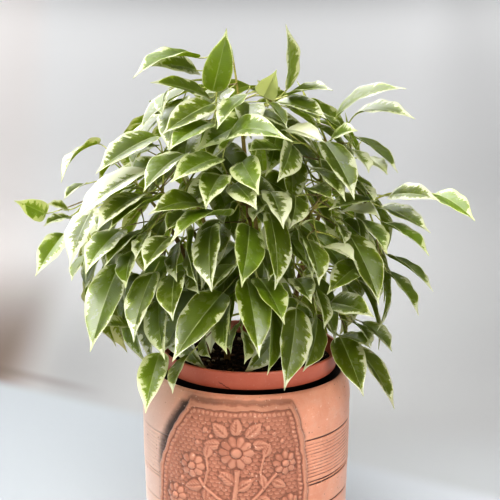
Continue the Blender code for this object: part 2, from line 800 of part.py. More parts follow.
def stem_path(root, crown):
    """A main stem's route: upright in its hole, then leaning out to its crown."""
    foot = Vector((root[0], root[1], hole_bottom(root) + SEAT_GAP))
    start = foot + Vector((0, 0, HOLE_DEPTH + UPRIGHT_ABOVE_SOIL))
    end = Vector(crown)
    control = Vector((root[0], root[1], 0)) * STEM_SPREAD_START
    control.z = start.z + (end.z - start.z) * STEM_LEAN_START
    return [foot] + [bend(start, control, end, index / STEM_BENDS) for index in range(STEM_BENDS + 1)]


def place_seen_leaves(obstacles):
    """Places the leaves of SEEN_LEAVES, each moved back and rolled until it is clear."""
    leaves, guards = [], []
    rows = sorted(SEEN_LEAVES, key=lambda row: row[5])
    for row in rows:
        placed = None
        for step in range(STEPS_BACK):
            for roll in ROLLS:
                leaf = seen_leaf(row, STEP_BACK * step, math.radians(roll))
                guard = leaf_guard(leaf)
                if not crosses(guard, obstacles):
                    placed = leaf
                    break
            if placed:
                break
        if placed:
            leaves.append(placed)
            guards.append(guard)
            obstacles.append(guard)
    return leaves, guards


def canopy_spread():
    """The canopy's skin from its foot to its top: each length's share of the whole area, up to its end."""
    area, spread = 0.0, []
    for (low, narrow), (high, wide) in zip(CANOPY_OUTLINE[1:], CANOPY_OUTLINE[2:]):
        area += (narrow + wide) / 2 * math.hypot(high - low, wide - narrow)
        spread.append((area, (low, narrow), (high, wide)))
    return [(end / area, start, stop) for end, start, stop in spread]


def fill_leaf(chance, index, inward, turn):
    """A leaf on the canopy's skin at one of a spread of places, hanging outwards."""
    azimuth = index * math.pi * (3 - math.sqrt(5))
    share, before = (index + 0.5) / FILL_COUNT, 0.0
    for end, (low, narrow), (high, wide) in canopy_spread():
        if share <= end:
            break
        before = end
    along = (share - before) / (end - before)
    outward = Vector((math.sin(azimuth), -math.cos(azimuth), 0))
    up_skin = (outward * (wide - narrow) + Vector((0, 0, high - low))).normalized()
    out_skin = (outward * up_skin.z - Vector((0, 0, up_skin.dot(outward)))).normalized()
    if outward.y < FRONT_SIDE:
        inward += FRONT_FILL_DEPTH
    elif index % 3 == 0:
        inward += BACK_FILL_DEPTH
    radius = narrow + (wide - narrow) * along
    skin = outward * radius
    middle = CANOPY_CENTRE + Vector((skin.x, skin.y * CANOPY_DEPTH_SHARE, 0))
    middle += Vector((0, 0, POT_HEIGHT + low + (high - low) * along)) - out_skin * inward
    sideways = Vector((-outward.y, outward.x, 0)) * (1.2 * (chance[2] - 0.5) + turn)
    axis = (out_skin * (0.30 + 0.5 * chance[1]) + sideways - up_skin).normalized()
    length = FILL_LENGTHS[0] + (FILL_LENGTHS[1] - FILL_LENGTHS[0]) * chance[0]
    base = middle - axis * length * 0.6
    wanted = out_skin + Vector((0, 0, 0.5)) + sideways * (chance[3] - 0.5)
    normal = (wanted - axis * wanted.dot(axis)).normalized()
    return Leaf(base, base + axis * length, normal, length * WIDTH_SHARE, FILL_ARCH, PLAIN_STATIONS)


def place_fill_leaves(obstacles):
    """Places leaves by a rule all round the canopy, each moved in and turned until it is clear."""
    draw = random.Random(FILL_SEED)
    leaves, guards = [], []
    for index in range(FILL_COUNT):
        chance = [draw.random() for _ in range(4)]
        placed = None
        for step in range(FILL_STEPS_IN):
            for turn in FILL_TURNS:
                leaf = fill_leaf(chance, index, FILL_STEP_IN * step, turn)
                middle = leaf.base.lerp(leaf.tip, 0.5)
                if not all(inside_outline(point) for point in (leaf.base, middle, leaf.tip)):
                    continue
                guard = leaf_guard(leaf)
                if not crosses(guard, obstacles):
                    placed = leaf
                    break
            if placed:
                break
        if placed:
            leaves.append(placed)
            guards.append(guard)
            obstacles.append(guard)
    return leaves, guards


class Growth:
    """The woody parts of one leafy stem: its main stem, and twigs that reach out to its leaves."""

    def __init__(self, name, path):
        self.name = name
        self.paths = [path]
        self.forks = []
        self.leaves = []
        for here, there in zip(path[3:], path[4:]):
            for share in FORK_SHARES:
                self.forks.append((here.lerp(there, share), here, 0.0))

    def distance(self, point):
        return min((fork[0] - point).length for fork in self.forks)


def twig_paths(start, leaf):
    """Ways for a twig from a fork to just short of a leaf's base, each arching or ending another way."""
    gap = leaf.base - start
    axis = (leaf.tip - leaf.base).normalized()
    up = Vector((0, 0, 1))
    aside = gap.normalized().cross(up)
    for lift in TWIG_LIFTS:
        end = leaf.base - (gap.normalized() + axis - up * lift).normalized() * STALK_LENGTH
        for sway in TWIG_SWAYS:
            for way in (up, aside, -aside, -up):
                control = start.lerp(end, 0.5) + way * gap.length * sway
                yield [bend(start, control, end, share) for share in (0.0, 0.5, 1.0)]


def bends_gently(leaf, root):
    """Whether a stalk from a root meets the blade's base without turning back or coming in sideways."""
    axis = (leaf.tip - leaf.base).normalized()
    out = (leaf.base - root).normalized()
    return out.dot(axis) > SHARPEST_TURN and abs(out.dot(axis.cross(leaf.normal))) < MOST_SIDEWAYS


def join_from(growth, fork, leaf, others, stray, shortest_twig):
    """Joins a leaf to a fork if its stalk, or a new twig and its stalk, has a clear way."""
    point, before, travelled = fork
    away = (point - leaf.base).length
    sunk = point.lerp(before, min(ROOT_SUNK / max((point - before).length, ROOT_SUNK), 0.5)) + stray
    if away < STALK_LENGTH * 0.5:
        return None
    if away <= LONGEST_STALK and bends_gently(leaf, sunk):
        guard = obstacle(*tube_shell([sunk, leaf.base], STALK_CLEAR), growth.name)
        if not crosses(guard, others):
            growth.leaves.append((leaf, sunk))
            return guard
    if away < shortest_twig:
        return None
    for path in twig_paths(point + stray, leaf):
        if not bends_gently(leaf, path[-1]):
            continue
        guard = obstacle(*tube_shell(path + [leaf.base], TWIG_CLEAR), growth.name)
        if crosses(guard, others):
            continue
        growth.paths.append(path)
        for here, there in zip(path, path[1:]):
            middle = here.lerp(there, 0.5)
            growth.forks.append((middle, here, travelled + (middle - point).length))
        growth.leaves.append((leaf, path[-1].lerp(path[-2], 0.2) + stray * 0.5))
        return guard
    return None


def join_leaves(growths, leaves, guards, obstacles, first=()):
    """Joins leaves to the stems: some first, then those nearest a stem. Returns those with no clear way."""
    draw = random.Random(GROWTH_SEED)
    order = sorted(range(len(leaves)), key=lambda index: min(g.distance(leaves[index].base) for g in growths))
    left_out = []
    for index in list(first) + [index for index in order if index not in first]:
        leaf, guard = leaves[index], guards[index]
        stray = Vector([draw.uniform(-START_STRAY, START_STRAY) for _ in range(3)])
        ways = []
        for growth in growths:
            for fork in growth.forks:
                ways.append(((fork[0] - leaf.base).length + TWIG_COST * fork[2], growth, fork))
        ways.sort(key=lambda way: way[0])
        joined = None
        for shortest_twig in (LONGEST_STALK, SHORTEST_TWIG):
            for _, growth, fork in ways[:MOST_TRIES]:
                if joined:
                    break
                others = [other for other in obstacles if other is not guard and other.owner != growth.name]
                joined = join_from(growth, fork, leaf, others, stray, shortest_twig)
        if joined:
            obstacles.append(joined)
        else:
            left_out.append(index)
            obstacles.remove(guard)
    return left_out


def grow(pots):
    """Places the leaves and joins them to the stems, each clear of everything of another stem.

    Leaves of the picture that find no clear way are joined before the others in the next round.
    """
    walls = []
    for pot in pots:
        points = [vertex.co.copy() for vertex in pot.data.vertices]
        walls.append(obstacle(points, [tuple(face.vertices) for face in pot.data.polygons], "pots"))
    first = []
    for _ in range(MOST_ROUNDS):
        growths = [Growth(name, stem_path(*where)) for name, where in STEMS.items()]
        stems = [obstacle(*tube_shell(g.paths[0], STEM_CLEAR, 6), g.name) for g in growths]
        obstacles = walls + stems
        leaves, guards = place_seen_leaves(obstacles)
        left_out = join_leaves(growths, leaves, guards, obstacles, first)
        if not left_out:
            break
        first = left_out + [index for index in first if index not in left_out]
    leaves, guards = place_fill_leaves(obstacles)
    join_leaves(growths, leaves, guards, obstacles)
    return growths


def leafy_stem(growth, collection, green):
    pieces = new_collection(growth.name + " pieces")
    body = tube(growth.name, growth.paths[0], STEM_RADII, 1, collection)
    for index, path in enumerate(growth.paths[1:]):
        tube(f"twig {index}", path, TWIG_RADII, 0, pieces)
    for index, (leaf, root) in enumerate(growth.leaves):
        points, faces = leaf_shell(leaf, root)
        mesh_object(f"leaf {index}", points, faces, pieces)
    union(body, pieces, "MANIFOLD")
    keep_largest_body(body.data)
    body.data.materials.clear()
    body.data.materials.append(green)
    return body


def keep_largest_body(mesh):
    """Fills the small hollows that joining sealed and drops loose scraps: only the main skin stays."""
    shape = bmesh.new()
    shape.from_mesh(mesh)
    left, skins = set(shape.faces), []
    while left:
        start = left.pop()
        skin, front = [start], [start]
        while front:
            for edge in front.pop().edges:
                for face in edge.link_faces:
                    if face in left and len(edge.link_faces) == 2:
                        left.remove(face)
                        skin.append(face)
                        front.append(face)
        skins.append(skin)
    skins.sort(key=len)
    for skin in skins[:-1]:
        bmesh.ops.delete(shape, geom=skin, context="FACES")
    shape.to_mesh(mesh)
    shape.free()


def main():
    clear_scene()
    collection = new_collection("weeping fig")
    clay = material("terracotta", (0.68, 0.30, 0.18), 0.75)
    plastic = material("red-brown plastic", (0.52, 0.14, 0.09), 0.35)
    earth = material("potting soil", (0.05, 0.028, 0.018), 0.95)
    green = material("variegated leaf", (0.22, 0.33, 0.13), 0.42)
    outer = terracotta_pot(collection, clay)
    inner = nursery_pot(collection, plastic)
    ball = soil(collection, earth)
    for growth in grow((outer, inner, ball)):
        leafy_stem(growth, collection, green)


main()
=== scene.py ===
"""Looks of a potted weeping fig: fine leaves, stems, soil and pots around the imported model.

The leaves stand where the model's own solids have them, because the same rule with the same seeds places
them here. Their fine meshes, the pots' turned and moulded surfaces and all materials are made in code.
"""

import itertools
import math
import random
from collections import namedtuple

import bpy
import numpy as np
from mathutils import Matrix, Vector, noise
from mathutils.bvhtree import BVHTree


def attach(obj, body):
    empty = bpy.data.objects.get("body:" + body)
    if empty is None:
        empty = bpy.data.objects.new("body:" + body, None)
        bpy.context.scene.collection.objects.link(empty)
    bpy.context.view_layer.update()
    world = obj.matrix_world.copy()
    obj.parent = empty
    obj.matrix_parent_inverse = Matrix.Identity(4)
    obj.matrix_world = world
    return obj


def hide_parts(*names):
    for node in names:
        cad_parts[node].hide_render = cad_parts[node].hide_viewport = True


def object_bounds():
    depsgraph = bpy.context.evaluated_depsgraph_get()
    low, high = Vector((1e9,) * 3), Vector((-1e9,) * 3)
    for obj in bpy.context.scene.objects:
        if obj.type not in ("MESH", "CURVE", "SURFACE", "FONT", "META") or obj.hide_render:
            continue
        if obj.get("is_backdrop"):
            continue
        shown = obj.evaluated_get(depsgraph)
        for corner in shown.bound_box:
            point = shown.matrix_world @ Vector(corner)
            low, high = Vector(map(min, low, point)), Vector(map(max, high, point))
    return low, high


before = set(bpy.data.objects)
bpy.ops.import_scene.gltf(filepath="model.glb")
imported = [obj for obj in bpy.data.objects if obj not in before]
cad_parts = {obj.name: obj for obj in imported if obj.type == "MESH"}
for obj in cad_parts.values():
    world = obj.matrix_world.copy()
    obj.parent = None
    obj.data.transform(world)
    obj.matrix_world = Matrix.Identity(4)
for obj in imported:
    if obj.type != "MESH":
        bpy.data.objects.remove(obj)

CAD_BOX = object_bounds()

# The terracotta pot, as the model has it
POT_HEIGHT = 0.140
POT_FLOOR = 0.012
POT_MOUTH_RADIUS = 0.068
POT_LIP_RADIUS = 0.0705
POT_SHOULDER_RADIUS = 0.0775
POT_SHOULDER_BELOW = 0.025
POT_FOOT_RADIUS = 0.0745
SHOULDER_ROUNDNESS = 2.2
WALL_TAPER = 1.5

# The nursery pot, as the model has it
RIM_RADIUS = 0.065
RIM_TOP = POT_HEIGHT + 0.0169
RIM_BAND = 0.0143
RIM_WALL = 0.0022
RIM_TAPER = 0.0020
RIM_STEP = 0.0015
NURSERY_WALL = 0.0015
NURSERY_WALL_RADIUS = 0.0612
NURSERY_FOOT_RADIUS = 0.0500
SEAT_GAP = 0.0003

# The soil
SOIL_BELOW_RIM = 0.0099
SOIL_MOUND = 0.003
SOIL_ROLL = 0.0008
ROLL_TURNS = (90, 110)
ROLL_START = 1.0
HOLE_DEPTH = 0.025

# The view that the picture was taken in, and the pot's mouth in it
PICTURE_MIDDLE = 250.0
FOCAL_PIXELS = 1605.0
VIEW_DISTANCE = 1.2
VIEW_PITCH = math.radians(14.1)
MOUTH_PIXEL = (249.0, 366.0)
NEAREST_DEPTH = 1.03
DEPTH_STEP = 0.002
DEPTH_STEPS = 160
NEARER_BY = 0.0005

# The foliage
CANOPY_CENTRE = Vector((-0.014, 0.0, 0.0))
CANOPY_DEPTH_SHARE = 0.92
# Height above the terracotta pot's mouth, and the canopy's radius there
CANOPY_OUTLINE = (
    (-0.020, 0.080), (0.000, 0.094), (0.030, 0.108), (0.065, 0.118), (0.105, 0.122),
    (0.145, 0.114), (0.185, 0.096), (0.220, 0.072), (0.245, 0.045), (0.262, 0.012),
)
LAYER_STEP = 0.010
STEPS_BACK = 24
STEP_BACK = 0.0025
ROLLS = (0, 12, -12, 24)
NARROWEST_SEEN = 0.15
# How much a leaf's face turns outwards, and upwards
FACES_OUT, FACES_UP = 0.6, 0.8
BLADE_FOLD = math.radians(20)
SEEN_ARCH = 0.05
FILL_ARCH = 0.09
WIDTH_SHARE = 0.43
# Share of the blade's length, and of its half width there
BLADE_STATIONS = ((0.20, 0.86), (0.52, 0.98), (0.86, 0.22))
PLAIN_STATIONS = ((0.34, 1.0), (0.80, 0.36))
STALK_LENGTH = 0.011
LONGEST_STALK = 0.034
CLEAR_THICKNESS = 0.0020
CLEAR_WIDTH = 1.06
# Where a twig or a stalk starts, it strays this far from the middle of what carries it
START_STRAY = 0.00025
STEM_RADII = (0.0024, 0.0011)
STEM_BENDS = 7
# A stem stays upright this far above the soil, then bends towards a point at this share of its height
UPRIGHT_ABOVE_SOIL = 0.004
STEM_LEAN_START = 0.6
STEM_SPREAD_START = 1.2
FORK_SHARES = (0.25, 0.5, 0.75)
FIRST_FORK = 3
# How far back along its carrier a stalk is rooted, and what each metre of twig counts when forks are ranked
ROOT_SUNK = 0.002
TWIG_COST = 0.25
MOST_TRIES = 160
MOST_ROUNDS = 6
TWIG_SWAYS = (0.14, 0.38)
SHORTEST_TWIG = 0.020
SHARPEST_TURN = -0.35
MOST_SIDEWAYS = 0.85
TWIG_LIFTS = (0.0, 1.2)
STEM_CLEAR = 0.0030
TWIG_CLEAR = 0.0013
STALK_CLEAR = 0.0009
SHORTEST_STALK_SHARE = 0.5
TWIG_END_SHARE = 0.2
END_STRAY_SHARE = 0.5

Leaf = namedtuple("Leaf", "base tip normal width arch stations")
Obstacle = namedtuple("Obstacle", "tree centre reach owner")

# Rooted cuttings: where each stands in the soil, and where its main stem ends
STEMS = {
    "leafy_stem_middle": ((0.002, 0.004), (-0.012, 0.010, 0.372)),
    "leafy_stem_front_left": ((-0.016, -0.016), (-0.066, -0.058, 0.292)),
    "leafy_stem_front": ((0.004, -0.022), (-0.008, -0.078, 0.286)),
    "leafy_stem_front_right": ((0.020, -0.012), (0.056, -0.052, 0.290)),
    "leafy_stem_right": ((0.030, 0.006), (0.078, 0.020, 0.300)),
    "leafy_stem_left": ((-0.030, 0.004), (-0.094, 0.004, 0.290)),
    "leafy_stem_back_left": ((-0.016, 0.024), (-0.060, 0.064, 0.286)),
    "leafy_stem_back": ((0.006, 0.030), (0.002, 0.082, 0.284)),
    "leafy_stem_back_right": ((0.024, 0.022), (0.046, 0.062, 0.292)),
}

# Leaves seen in the picture, front ones first: the base's and the tip's pixel, the apparent width in
# pixels, the layer behind the canopy's surface, and the blade's real length in millimetres
SEEN_LEAVES = (
    (213, 91, 228, 29, 33, 0, 50), (198, 58, 133, 79, 12, 0, 56), (197, 71, 150, 65, 20, 1, 50),
    (210, 99, 150, 82, 14, 1, 52), (165, 93, 162, 116, 14, 2, 30), (212, 104, 162, 135, 26, 0, 52),
    (248, 94, 217, 129, 16, 0, 48), (253, 120, 195, 152, 30, 1, 60), (210, 123, 168, 150, 22, 0, 52),
    (156, 136, 96, 173, 24, 0, 58), (155, 145, 111, 165, 18, 1, 50), (225, 148, 292, 142, 24, 0, 60),
    (264, 96, 277, 70, 34, 0, 38), (287, 90, 286, 25, 15, 0, 52), (288, 95, 333, 90, 8, 0, 45),
    (268, 102, 287, 128, 10, 0, 30), (276, 102, 328, 119, 16, 1, 52), (295, 109, 321, 122, 12, 1, 40),
    (286, 130, 324, 143, 16, 0, 45), (219, 158, 170, 183, 24, 0, 55), (184, 154, 143, 191, 22, 0, 56),
    (147, 170, 73, 222, 22, 0, 68), (100, 143, 62, 183, 5, 2, 52), (85, 184, 64, 200, 8, 2, 30),
    (131, 188, 91, 208, 22, 1, 52), (141, 195, 96, 231, 22, 0, 58), (162, 198, 108, 231, 24, 0, 60),
    (200, 205, 149, 215, 24, 0, 55), (191, 214, 165, 232, 18, 1, 45), (170, 237, 144, 271, 24, 0, 50),
    (121, 230, 84, 274, 26, 0, 58), (145, 231, 105, 266, 24, 1, 55), (149, 232, 136, 260, 14, 1, 36),
    (108, 209, 96, 228, 12, 1, 28), (134, 250, 126, 289, 20, 1, 45), (93, 209, 70, 267, 26, 0, 56),
    (64, 234, 36, 276, 24, 0, 45), (46, 214, 15, 200, 25, 0, 38), (68, 210, 46, 204, 9, 0, 24),
    (70, 217, 43, 226, 10, 0, 30), (89, 254, 71, 281, 10, 1, 35), (242, 162, 260, 194, 40, 0, 52),
    (291, 144, 277, 182, 27, 0, 50), (283, 152, 247, 151, 12, 1, 50), (298, 228, 312, 278, 18, 2, 52),
    (296, 279, 311, 303, 16, 2, 44), (311, 284, 325, 330, 12, 1, 50), (182, 240, 176, 282, 14, 2, 48),
    (221, 175, 204, 208, 30, 0, 50), (235, 184, 258, 209, 30, 0, 48), (270, 192, 283, 228, 28, 0, 50),
    (295, 196, 290, 229, 24, 1, 48), (230, 216, 171, 243, 20, 0, 62), (194, 230, 196, 283, 18, 1, 56),
    (212, 226, 212, 292, 30, 0, 58), (249, 226, 240, 287, 34, 0, 58), (269, 213, 277, 290, 27, 0, 60),
    (236, 200, 223, 226, 12, 1, 36), (262, 206, 252, 222, 14, 1, 30), (235, 265, 212, 291, 18, 1, 48),
    (196, 260, 199, 295, 16, 2, 48), (258, 246, 270, 281, 18, 2, 48), (246, 279, 258, 358, 36, 0, 62),
    (259, 279, 284, 324, 28, 0, 55), (223, 293, 172, 362, 38, 0, 66), (120, 264, 91, 352, 36, 0, 68),
    (154, 272, 132, 342, 28, 0, 58), (176, 274, 173, 321, 30, 0, 55), (160, 296, 165, 359, 26, 1, 58),
    (160, 353, 145, 413, 30, 0, 52), (190, 354, 172, 394, 12, 1, 45), (129, 326, 104, 326, 14, 2, 36),
    (228, 303, 226, 355, 20, 1, 52), (242, 321, 231, 354, 8, 2, 40), (240, 288, 229, 336, 20, 3, 52),
    (343, 282, 352, 322, 18, 2, 50), (242, 330, 245, 364, 14, 2, 40), (205, 335, 210, 358, 12, 2, 38),
    (271, 310, 267, 375, 14, 1, 52), (296, 308, 283, 390, 34, 0, 62), (317, 317, 303, 372, 20, 1, 55),
    (336, 118, 406, 88, 13, 0, 58), (356, 114, 415, 119, 14, 0, 50), (355, 137, 398, 172, 10, 0, 50),
    (324, 142, 355, 199, 28, 0, 58), (330, 141, 358, 130, 12, 1, 42), (310, 168, 346, 201, 14, 1, 50),
    (350, 149, 370, 173, 12, 1, 42), (365, 158, 388, 175, 12, 2, 36), (355, 181, 375, 202, 6, 1, 38),
    (435, 194, 475, 221, 20, 0, 44), (390, 196, 440, 200, 19, 0, 46), (380, 207, 430, 233, 16, 0, 50),
    (383, 223, 430, 255, 10, 0, 50), (388, 256, 433, 291, 7, 0, 50), (386, 271, 419, 315, 12, 0, 48),
    (349, 235, 380, 305, 30, 0, 62), (361, 220, 387, 254, 16, 1, 50), (373, 201, 329, 210, 14, 1, 50),
    (341, 212, 381, 216, 12, 2, 46), (335, 222, 345, 245, 10, 2, 36), (310, 188, 333, 200, 12, 2, 40),
    (307, 239, 319, 285, 22, 0, 50), (323, 247, 356, 261, 18, 0, 46), (361, 264, 327, 294, 24, 0, 50),
    (361, 272, 379, 303, 16, 1, 44), (330, 303, 375, 317, 26, 0, 52), (362, 322, 392, 352, 15, 0, 46),
    (353, 322, 371, 347, 8, 1, 40), (340, 337, 364, 396, 33, 0, 56), (355, 346, 395, 409, 17, 0, 56),
    (340, 336, 371, 348, 12, 1, 42),
)
LAYER_COLUMN = 5

# How much the most arched ones rise over their chord, by their base's pixel
ARCHED_LEAVES = {
    (225, 148): 0.24, (100, 143): 0.13, (198, 58): 0.13, (356, 114): 0.11, (336, 118): 0.12,
    (230, 216): 0.12, (200, 205): 0.10, (390, 196): 0.08, (435, 194): 0.08,
}

FILL_SEED = 7
GROWTH_SEED = 11
FILL_COUNT = 156
FILL_LENGTHS = (0.050, 0.064)
FILL_STEPS_IN = 8
FILL_STEP_IN = 0.004
FILL_TURNS = (0, 0.3, -0.3, 0.6, -0.6)
FRONT_SIDE = -0.25
FRONT_FILL_DEPTH = 0.030
BACK_FILL_DEPTH = 0.016
FILL_SWAY = 1.2
FILL_LEANS = (0.30, 0.5)
FILL_BASE_SHARE = 0.6
FILL_FACES_UP = 0.5
FILL_BACK_EVERY = 3
# The dense part of the canopy as the picture shows it: leaves placed by the rule stay inside it
PICTURE_OUTLINE = (
    (98, 335), (86, 285), (78, 255), (92, 215), (90, 188), (106, 162), (128, 140), (160, 116),
    (172, 96), (205, 84), (250, 84), (292, 95), (330, 114), (350, 135), (366, 165), (374, 200),
    (386, 235), (390, 270), (384, 300), (386, 330), (376, 362), (340, 376), (245, 376), (150, 368),
)

# The fine leaf: stations along it, columns across it, and its outline as share of half its width
LEAF_STATIONS = 24
LEAF_COLUMNS = (-1.0, -0.86, -0.62, -0.34, -0.07, 0.0, 0.07, 0.34, 0.62, 0.86, 1.0)
LEAF_THICKNESS = 0.00034
LEAF_OUTLINE = (
    (0.0, 0.05), (0.025, 0.36), (0.07, 0.62), (0.15, 0.85), (0.27, 0.98), (0.40, 1.00), (0.54, 0.92),
    (0.67, 0.73), (0.78, 0.45), (0.86, 0.235), (0.92, 0.115), (0.97, 0.055), (1.0, 0.012),
)
NARROWEST_SHARE = 0.012
STATION_SHIFT = 0.06
# The drip tip: where it starts and how long it is as shares of the leaf, and how far it droops and sways
DRIP_TIP_FROM, DRIP_TIP_LENGTH = 0.72, 0.28
TIP_DROOPS = (-0.004, 0.022)
TIP_SWAYS = (-0.022, 0.022)
# Waves of the edge: how many along a leaf, how high, and by how much they differ from leaf to leaf
RIPPLE_COUNTS = (2.2, 3.6)
RIPPLE = 0.0007
RIPPLE_SHARES = (0.5, 1.5)
FOLD_SHARES = (0.85, 1.15)
SIDE_RISE, SIDE_CURL = 1.30, 0.42
RIB_DEPTH = 0.0003
TOP, UNDER, STALK, BARK, BUD = range(5)
# A texture place counts in tenths of a metre, and materials read it in millimetres
PLACE_SCALE = 10
PLACE_MILLIMETRES = 100.0

# The fine stalk, twig, stem and bud
STALK_RINGS = 9
STALK_SIDES = 7
STALK_RADIUS, STALK_NARROWS, STALK_FOOT = 0.00050, 0.00010, 0.0002
STALK_END_RADIUS = 0.00022
STALK_IN_BLADE = 0.0035
LONGEST_BEND = 0.008
FINE_TWIG = (0.00085, 0.00052)
TWIG_STEPS = 10
TWIG_KNOT = 0.12
STEM_FOOT_STEPS = 6
STEM_STEPS = 34
STEM_KNOT = 0.10
STEM_SLIM_FROM = 0.6
BUD_LENGTHS = (0.006, 0.011)
BUD_SUNK = 0.002
BUD_SHARES = (0, 0.2, 0.45, 0.7, 0.88, 1)
BUD_SWELLS = (0.8, 1.05, 1.0, 0.6, 0.28)
BUD_POINT = 0.00004
FOLIAGE_SEED = 21
STEM_SIDES, TWIG_SIDES, BUD_SIDES = 12, 8, 7
# Edges that fold more than this, in degrees, stay sharp
FOLIAGE_SHARP, CLAY_SHARP, PLASTIC_SHARP, SOIL_SHARP = 65, 60, 50, 40

# How pale and how young the most telling leaves are, by their base's pixel
LEAF_LOOKS = {
    (264, 96): (1.0, 1.0), (213, 91): (-0.70, 0.35), (225, 148): (0.35, 0.5), (242, 162): (0.45, 0.5),
    (435, 194): (-0.20, 0.80), (46, 214): (0.55, 0.9), (64, 234): (0.5, 0.4), (246, 279): (0.1, 0.2),
    (223, 293): (0.1, 0.1), (120, 264): (0.25, 0.3), (336, 118): (-0.10, 0.1), (330, 141): (0.8, 0.8),
    (198, 58): (0.0, 0.5),
}

# The leaves' colours by day, and with light coming through them
CREAM = (0.71, 0.72, 0.55)
YOUNG_CREAM = (0.72, 0.80, 0.30)
DARK_GREEN = (0.082, 0.108, 0.003)
MID_GREEN = (0.270, 0.315, 0.016)
GREY_GREEN = (0.370, 0.400, 0.190)
YOUNG_GREEN = (0.25, 0.38, 0.030)
RIB_GREEN = (0.50, 0.56, 0.26)
UNDERSIDE_GREEN = (0.30, 0.36, 0.16)
THROUGH_GREEN = (0.58, 0.68, 0.010)
THROUGH_CREAM = (0.86, 0.86, 0.53)
LEAF_THROUGH = 0.42

# The outer pot's fine surface
CLAY_ROWS = 250
CLAY_FRONT_COLUMNS = 260
CLAY_BACK_COLUMNS = 100
CLAY_FRONT = math.radians(62)
# The radius at which angles round the wall are laid out flat
WALL_ARC = 0.0765
RIB_PITCH = 0.0025
SHARP_GROOVES = (0.0355, 0.0680, 0.0702, 0.0888)
RIBS_BELOW_MOUTH = (0.0378, 0.0665)
GROOVE_DEPTH = 0.0012
GROOVE_HALF = 0.00068
# Each kind of unevenness: its lumps' size and its height
LUMP_SIZE, LUMP_RISE = 0.024, 0.00022
GRIT_SIZE, GRIT_RISE = 0.0042, 0.00007
WHEEL_SIZE, WHEEL_RISE = 0.0022, 0.00006
WANDER_SIZE, WANDER_RISE = 0.030, 0.0004
# Depths over which the clay counts as hollow, near by and broadly
NEAR_HOLLOW, BROAD_HOLLOW = 0.00042, 0.0011
PLAQUE_RISE = 0.0022
# The plaque's top and foot below the mouth, and the angles of its sides from the front at shares of its height
PLAQUE_TOP_BELOW = 0.0042
PLAQUE_FOOT_BELOW = 0.112
PLAQUE_LEFT = ((0.0, 34.0), (0.09, 37.5), (0.29, 46.5), (0.50, 53.5), (0.75, 55.0), (1.0, 54.0))
PLAQUE_RIGHT = ((0.0, 25.0), (0.07, 28.0), (0.24, 32.0), (0.48, 35.0), (1.0, 36.0))
# The thrown wall's middle strays this far to the left below its shoulder
POT_LEAN = 0.0022
# The thrown lip stands this much higher in front, and the plastic band this much further out on the right
LIP_RISE = 0.0014
LIP_TOWARDS = math.radians(-10)
BAND_BULGE = 0.0018
BULGE_TOWARDS = math.radians(80)
LIP_RISE_DEPTH = 0.016
# Radius and height of the plain rows: inside the pot, over its lip, and under its foot
CLAY_INSIDE = (
    (0.002, POT_FLOOR),
    (0.030, POT_FLOOR),
    (POT_MOUTH_RADIUS - 0.011, POT_FLOOR),
    (POT_MOUTH_RADIUS - 0.006, POT_FLOOR + 0.002),
    (POT_MOUTH_RADIUS - 0.0035, 0.030),
    (POT_MOUTH_RADIUS - 0.0020, 0.085),
    (POT_MOUTH_RADIUS - 0.0008, POT_HEIGHT - 0.010),
    (POT_MOUTH_RADIUS - 0.0001, POT_HEIGHT - 0.0022),
    (POT_MOUTH_RADIUS + 0.0003, POT_HEIGHT - 0.0008),
)
CLAY_LIP = (
    (POT_MOUTH_RADIUS + 0.0009, POT_HEIGHT - 0.0001),
    (POT_MOUTH_RADIUS + 0.0016, POT_HEIGHT - 0.0002),
    (POT_MOUTH_RADIUS + 0.0022, POT_HEIGHT - 0.0006),
)
FOOT_HOLLOW = 0.0012
CLAY_FOOT = (
    (POT_FOOT_RADIUS - 0.0003, 0.0012),
    (POT_FOOT_RADIUS - 0.0012, 0.0003),
    (POT_FOOT_RADIUS - 0.0022, 0.0),
    (POT_FOOT_RADIUS - 0.010, 0.0),
    (POT_FOOT_RADIUS - 0.0115, FOOT_HOLLOW),
    (0.020, FOOT_HOLLOW),
    (0.002, FOOT_HOLLOW),
)
FOOT_BELOW = 0.002
# The fine wall starts this far below the mouth and ends this far above the foot
WALL_BELOW_MOUTH, WALL_ABOVE_FOOT = 0.0012, 0.0025
# The wall's map holds the distance to the plaque's edge: this much for each metre, from 0.5 on the edge
EDGE_SCALE = 50

# The plaque's frame, in metres from its edge: a flat band, a row of beads, and a groove on each side of them
EDGE_ROUND = 0.0016
FRAME_FROM, FRAME_TO = (0.0010, 0.0024), (0.0042, 0.0052)
FRAME_RISE = 0.0005
FRAME_GROOVES = (0.0050, 0.0091)
FRAME_GROOVE_HALF, FRAME_GROOVE_DEPTH = 0.0004, 0.0004
BEADS_IN, BEADS_END = 0.0070, 0.0090
BEAD_PITCH = 0.0034
BEAD_RADIUS = 0.00125
BEAD_RISE = 0.0007
DESIGN_FROM = (0.0092, 0.0104)
DESIGN_SHARE = 0.72

# The plaque's ground of scales, and how high its leaves, flowers and buds stand
SCALE_ROW = 0.0029
SCALE_WIDE = 0.0044
SCALE_RISE = 0.0011
GROUND_DEPTH = 0.0004
LEAF_RISE, FLOWER_RISE, BUD_RISE = 0.0019, 0.0022, 0.0014
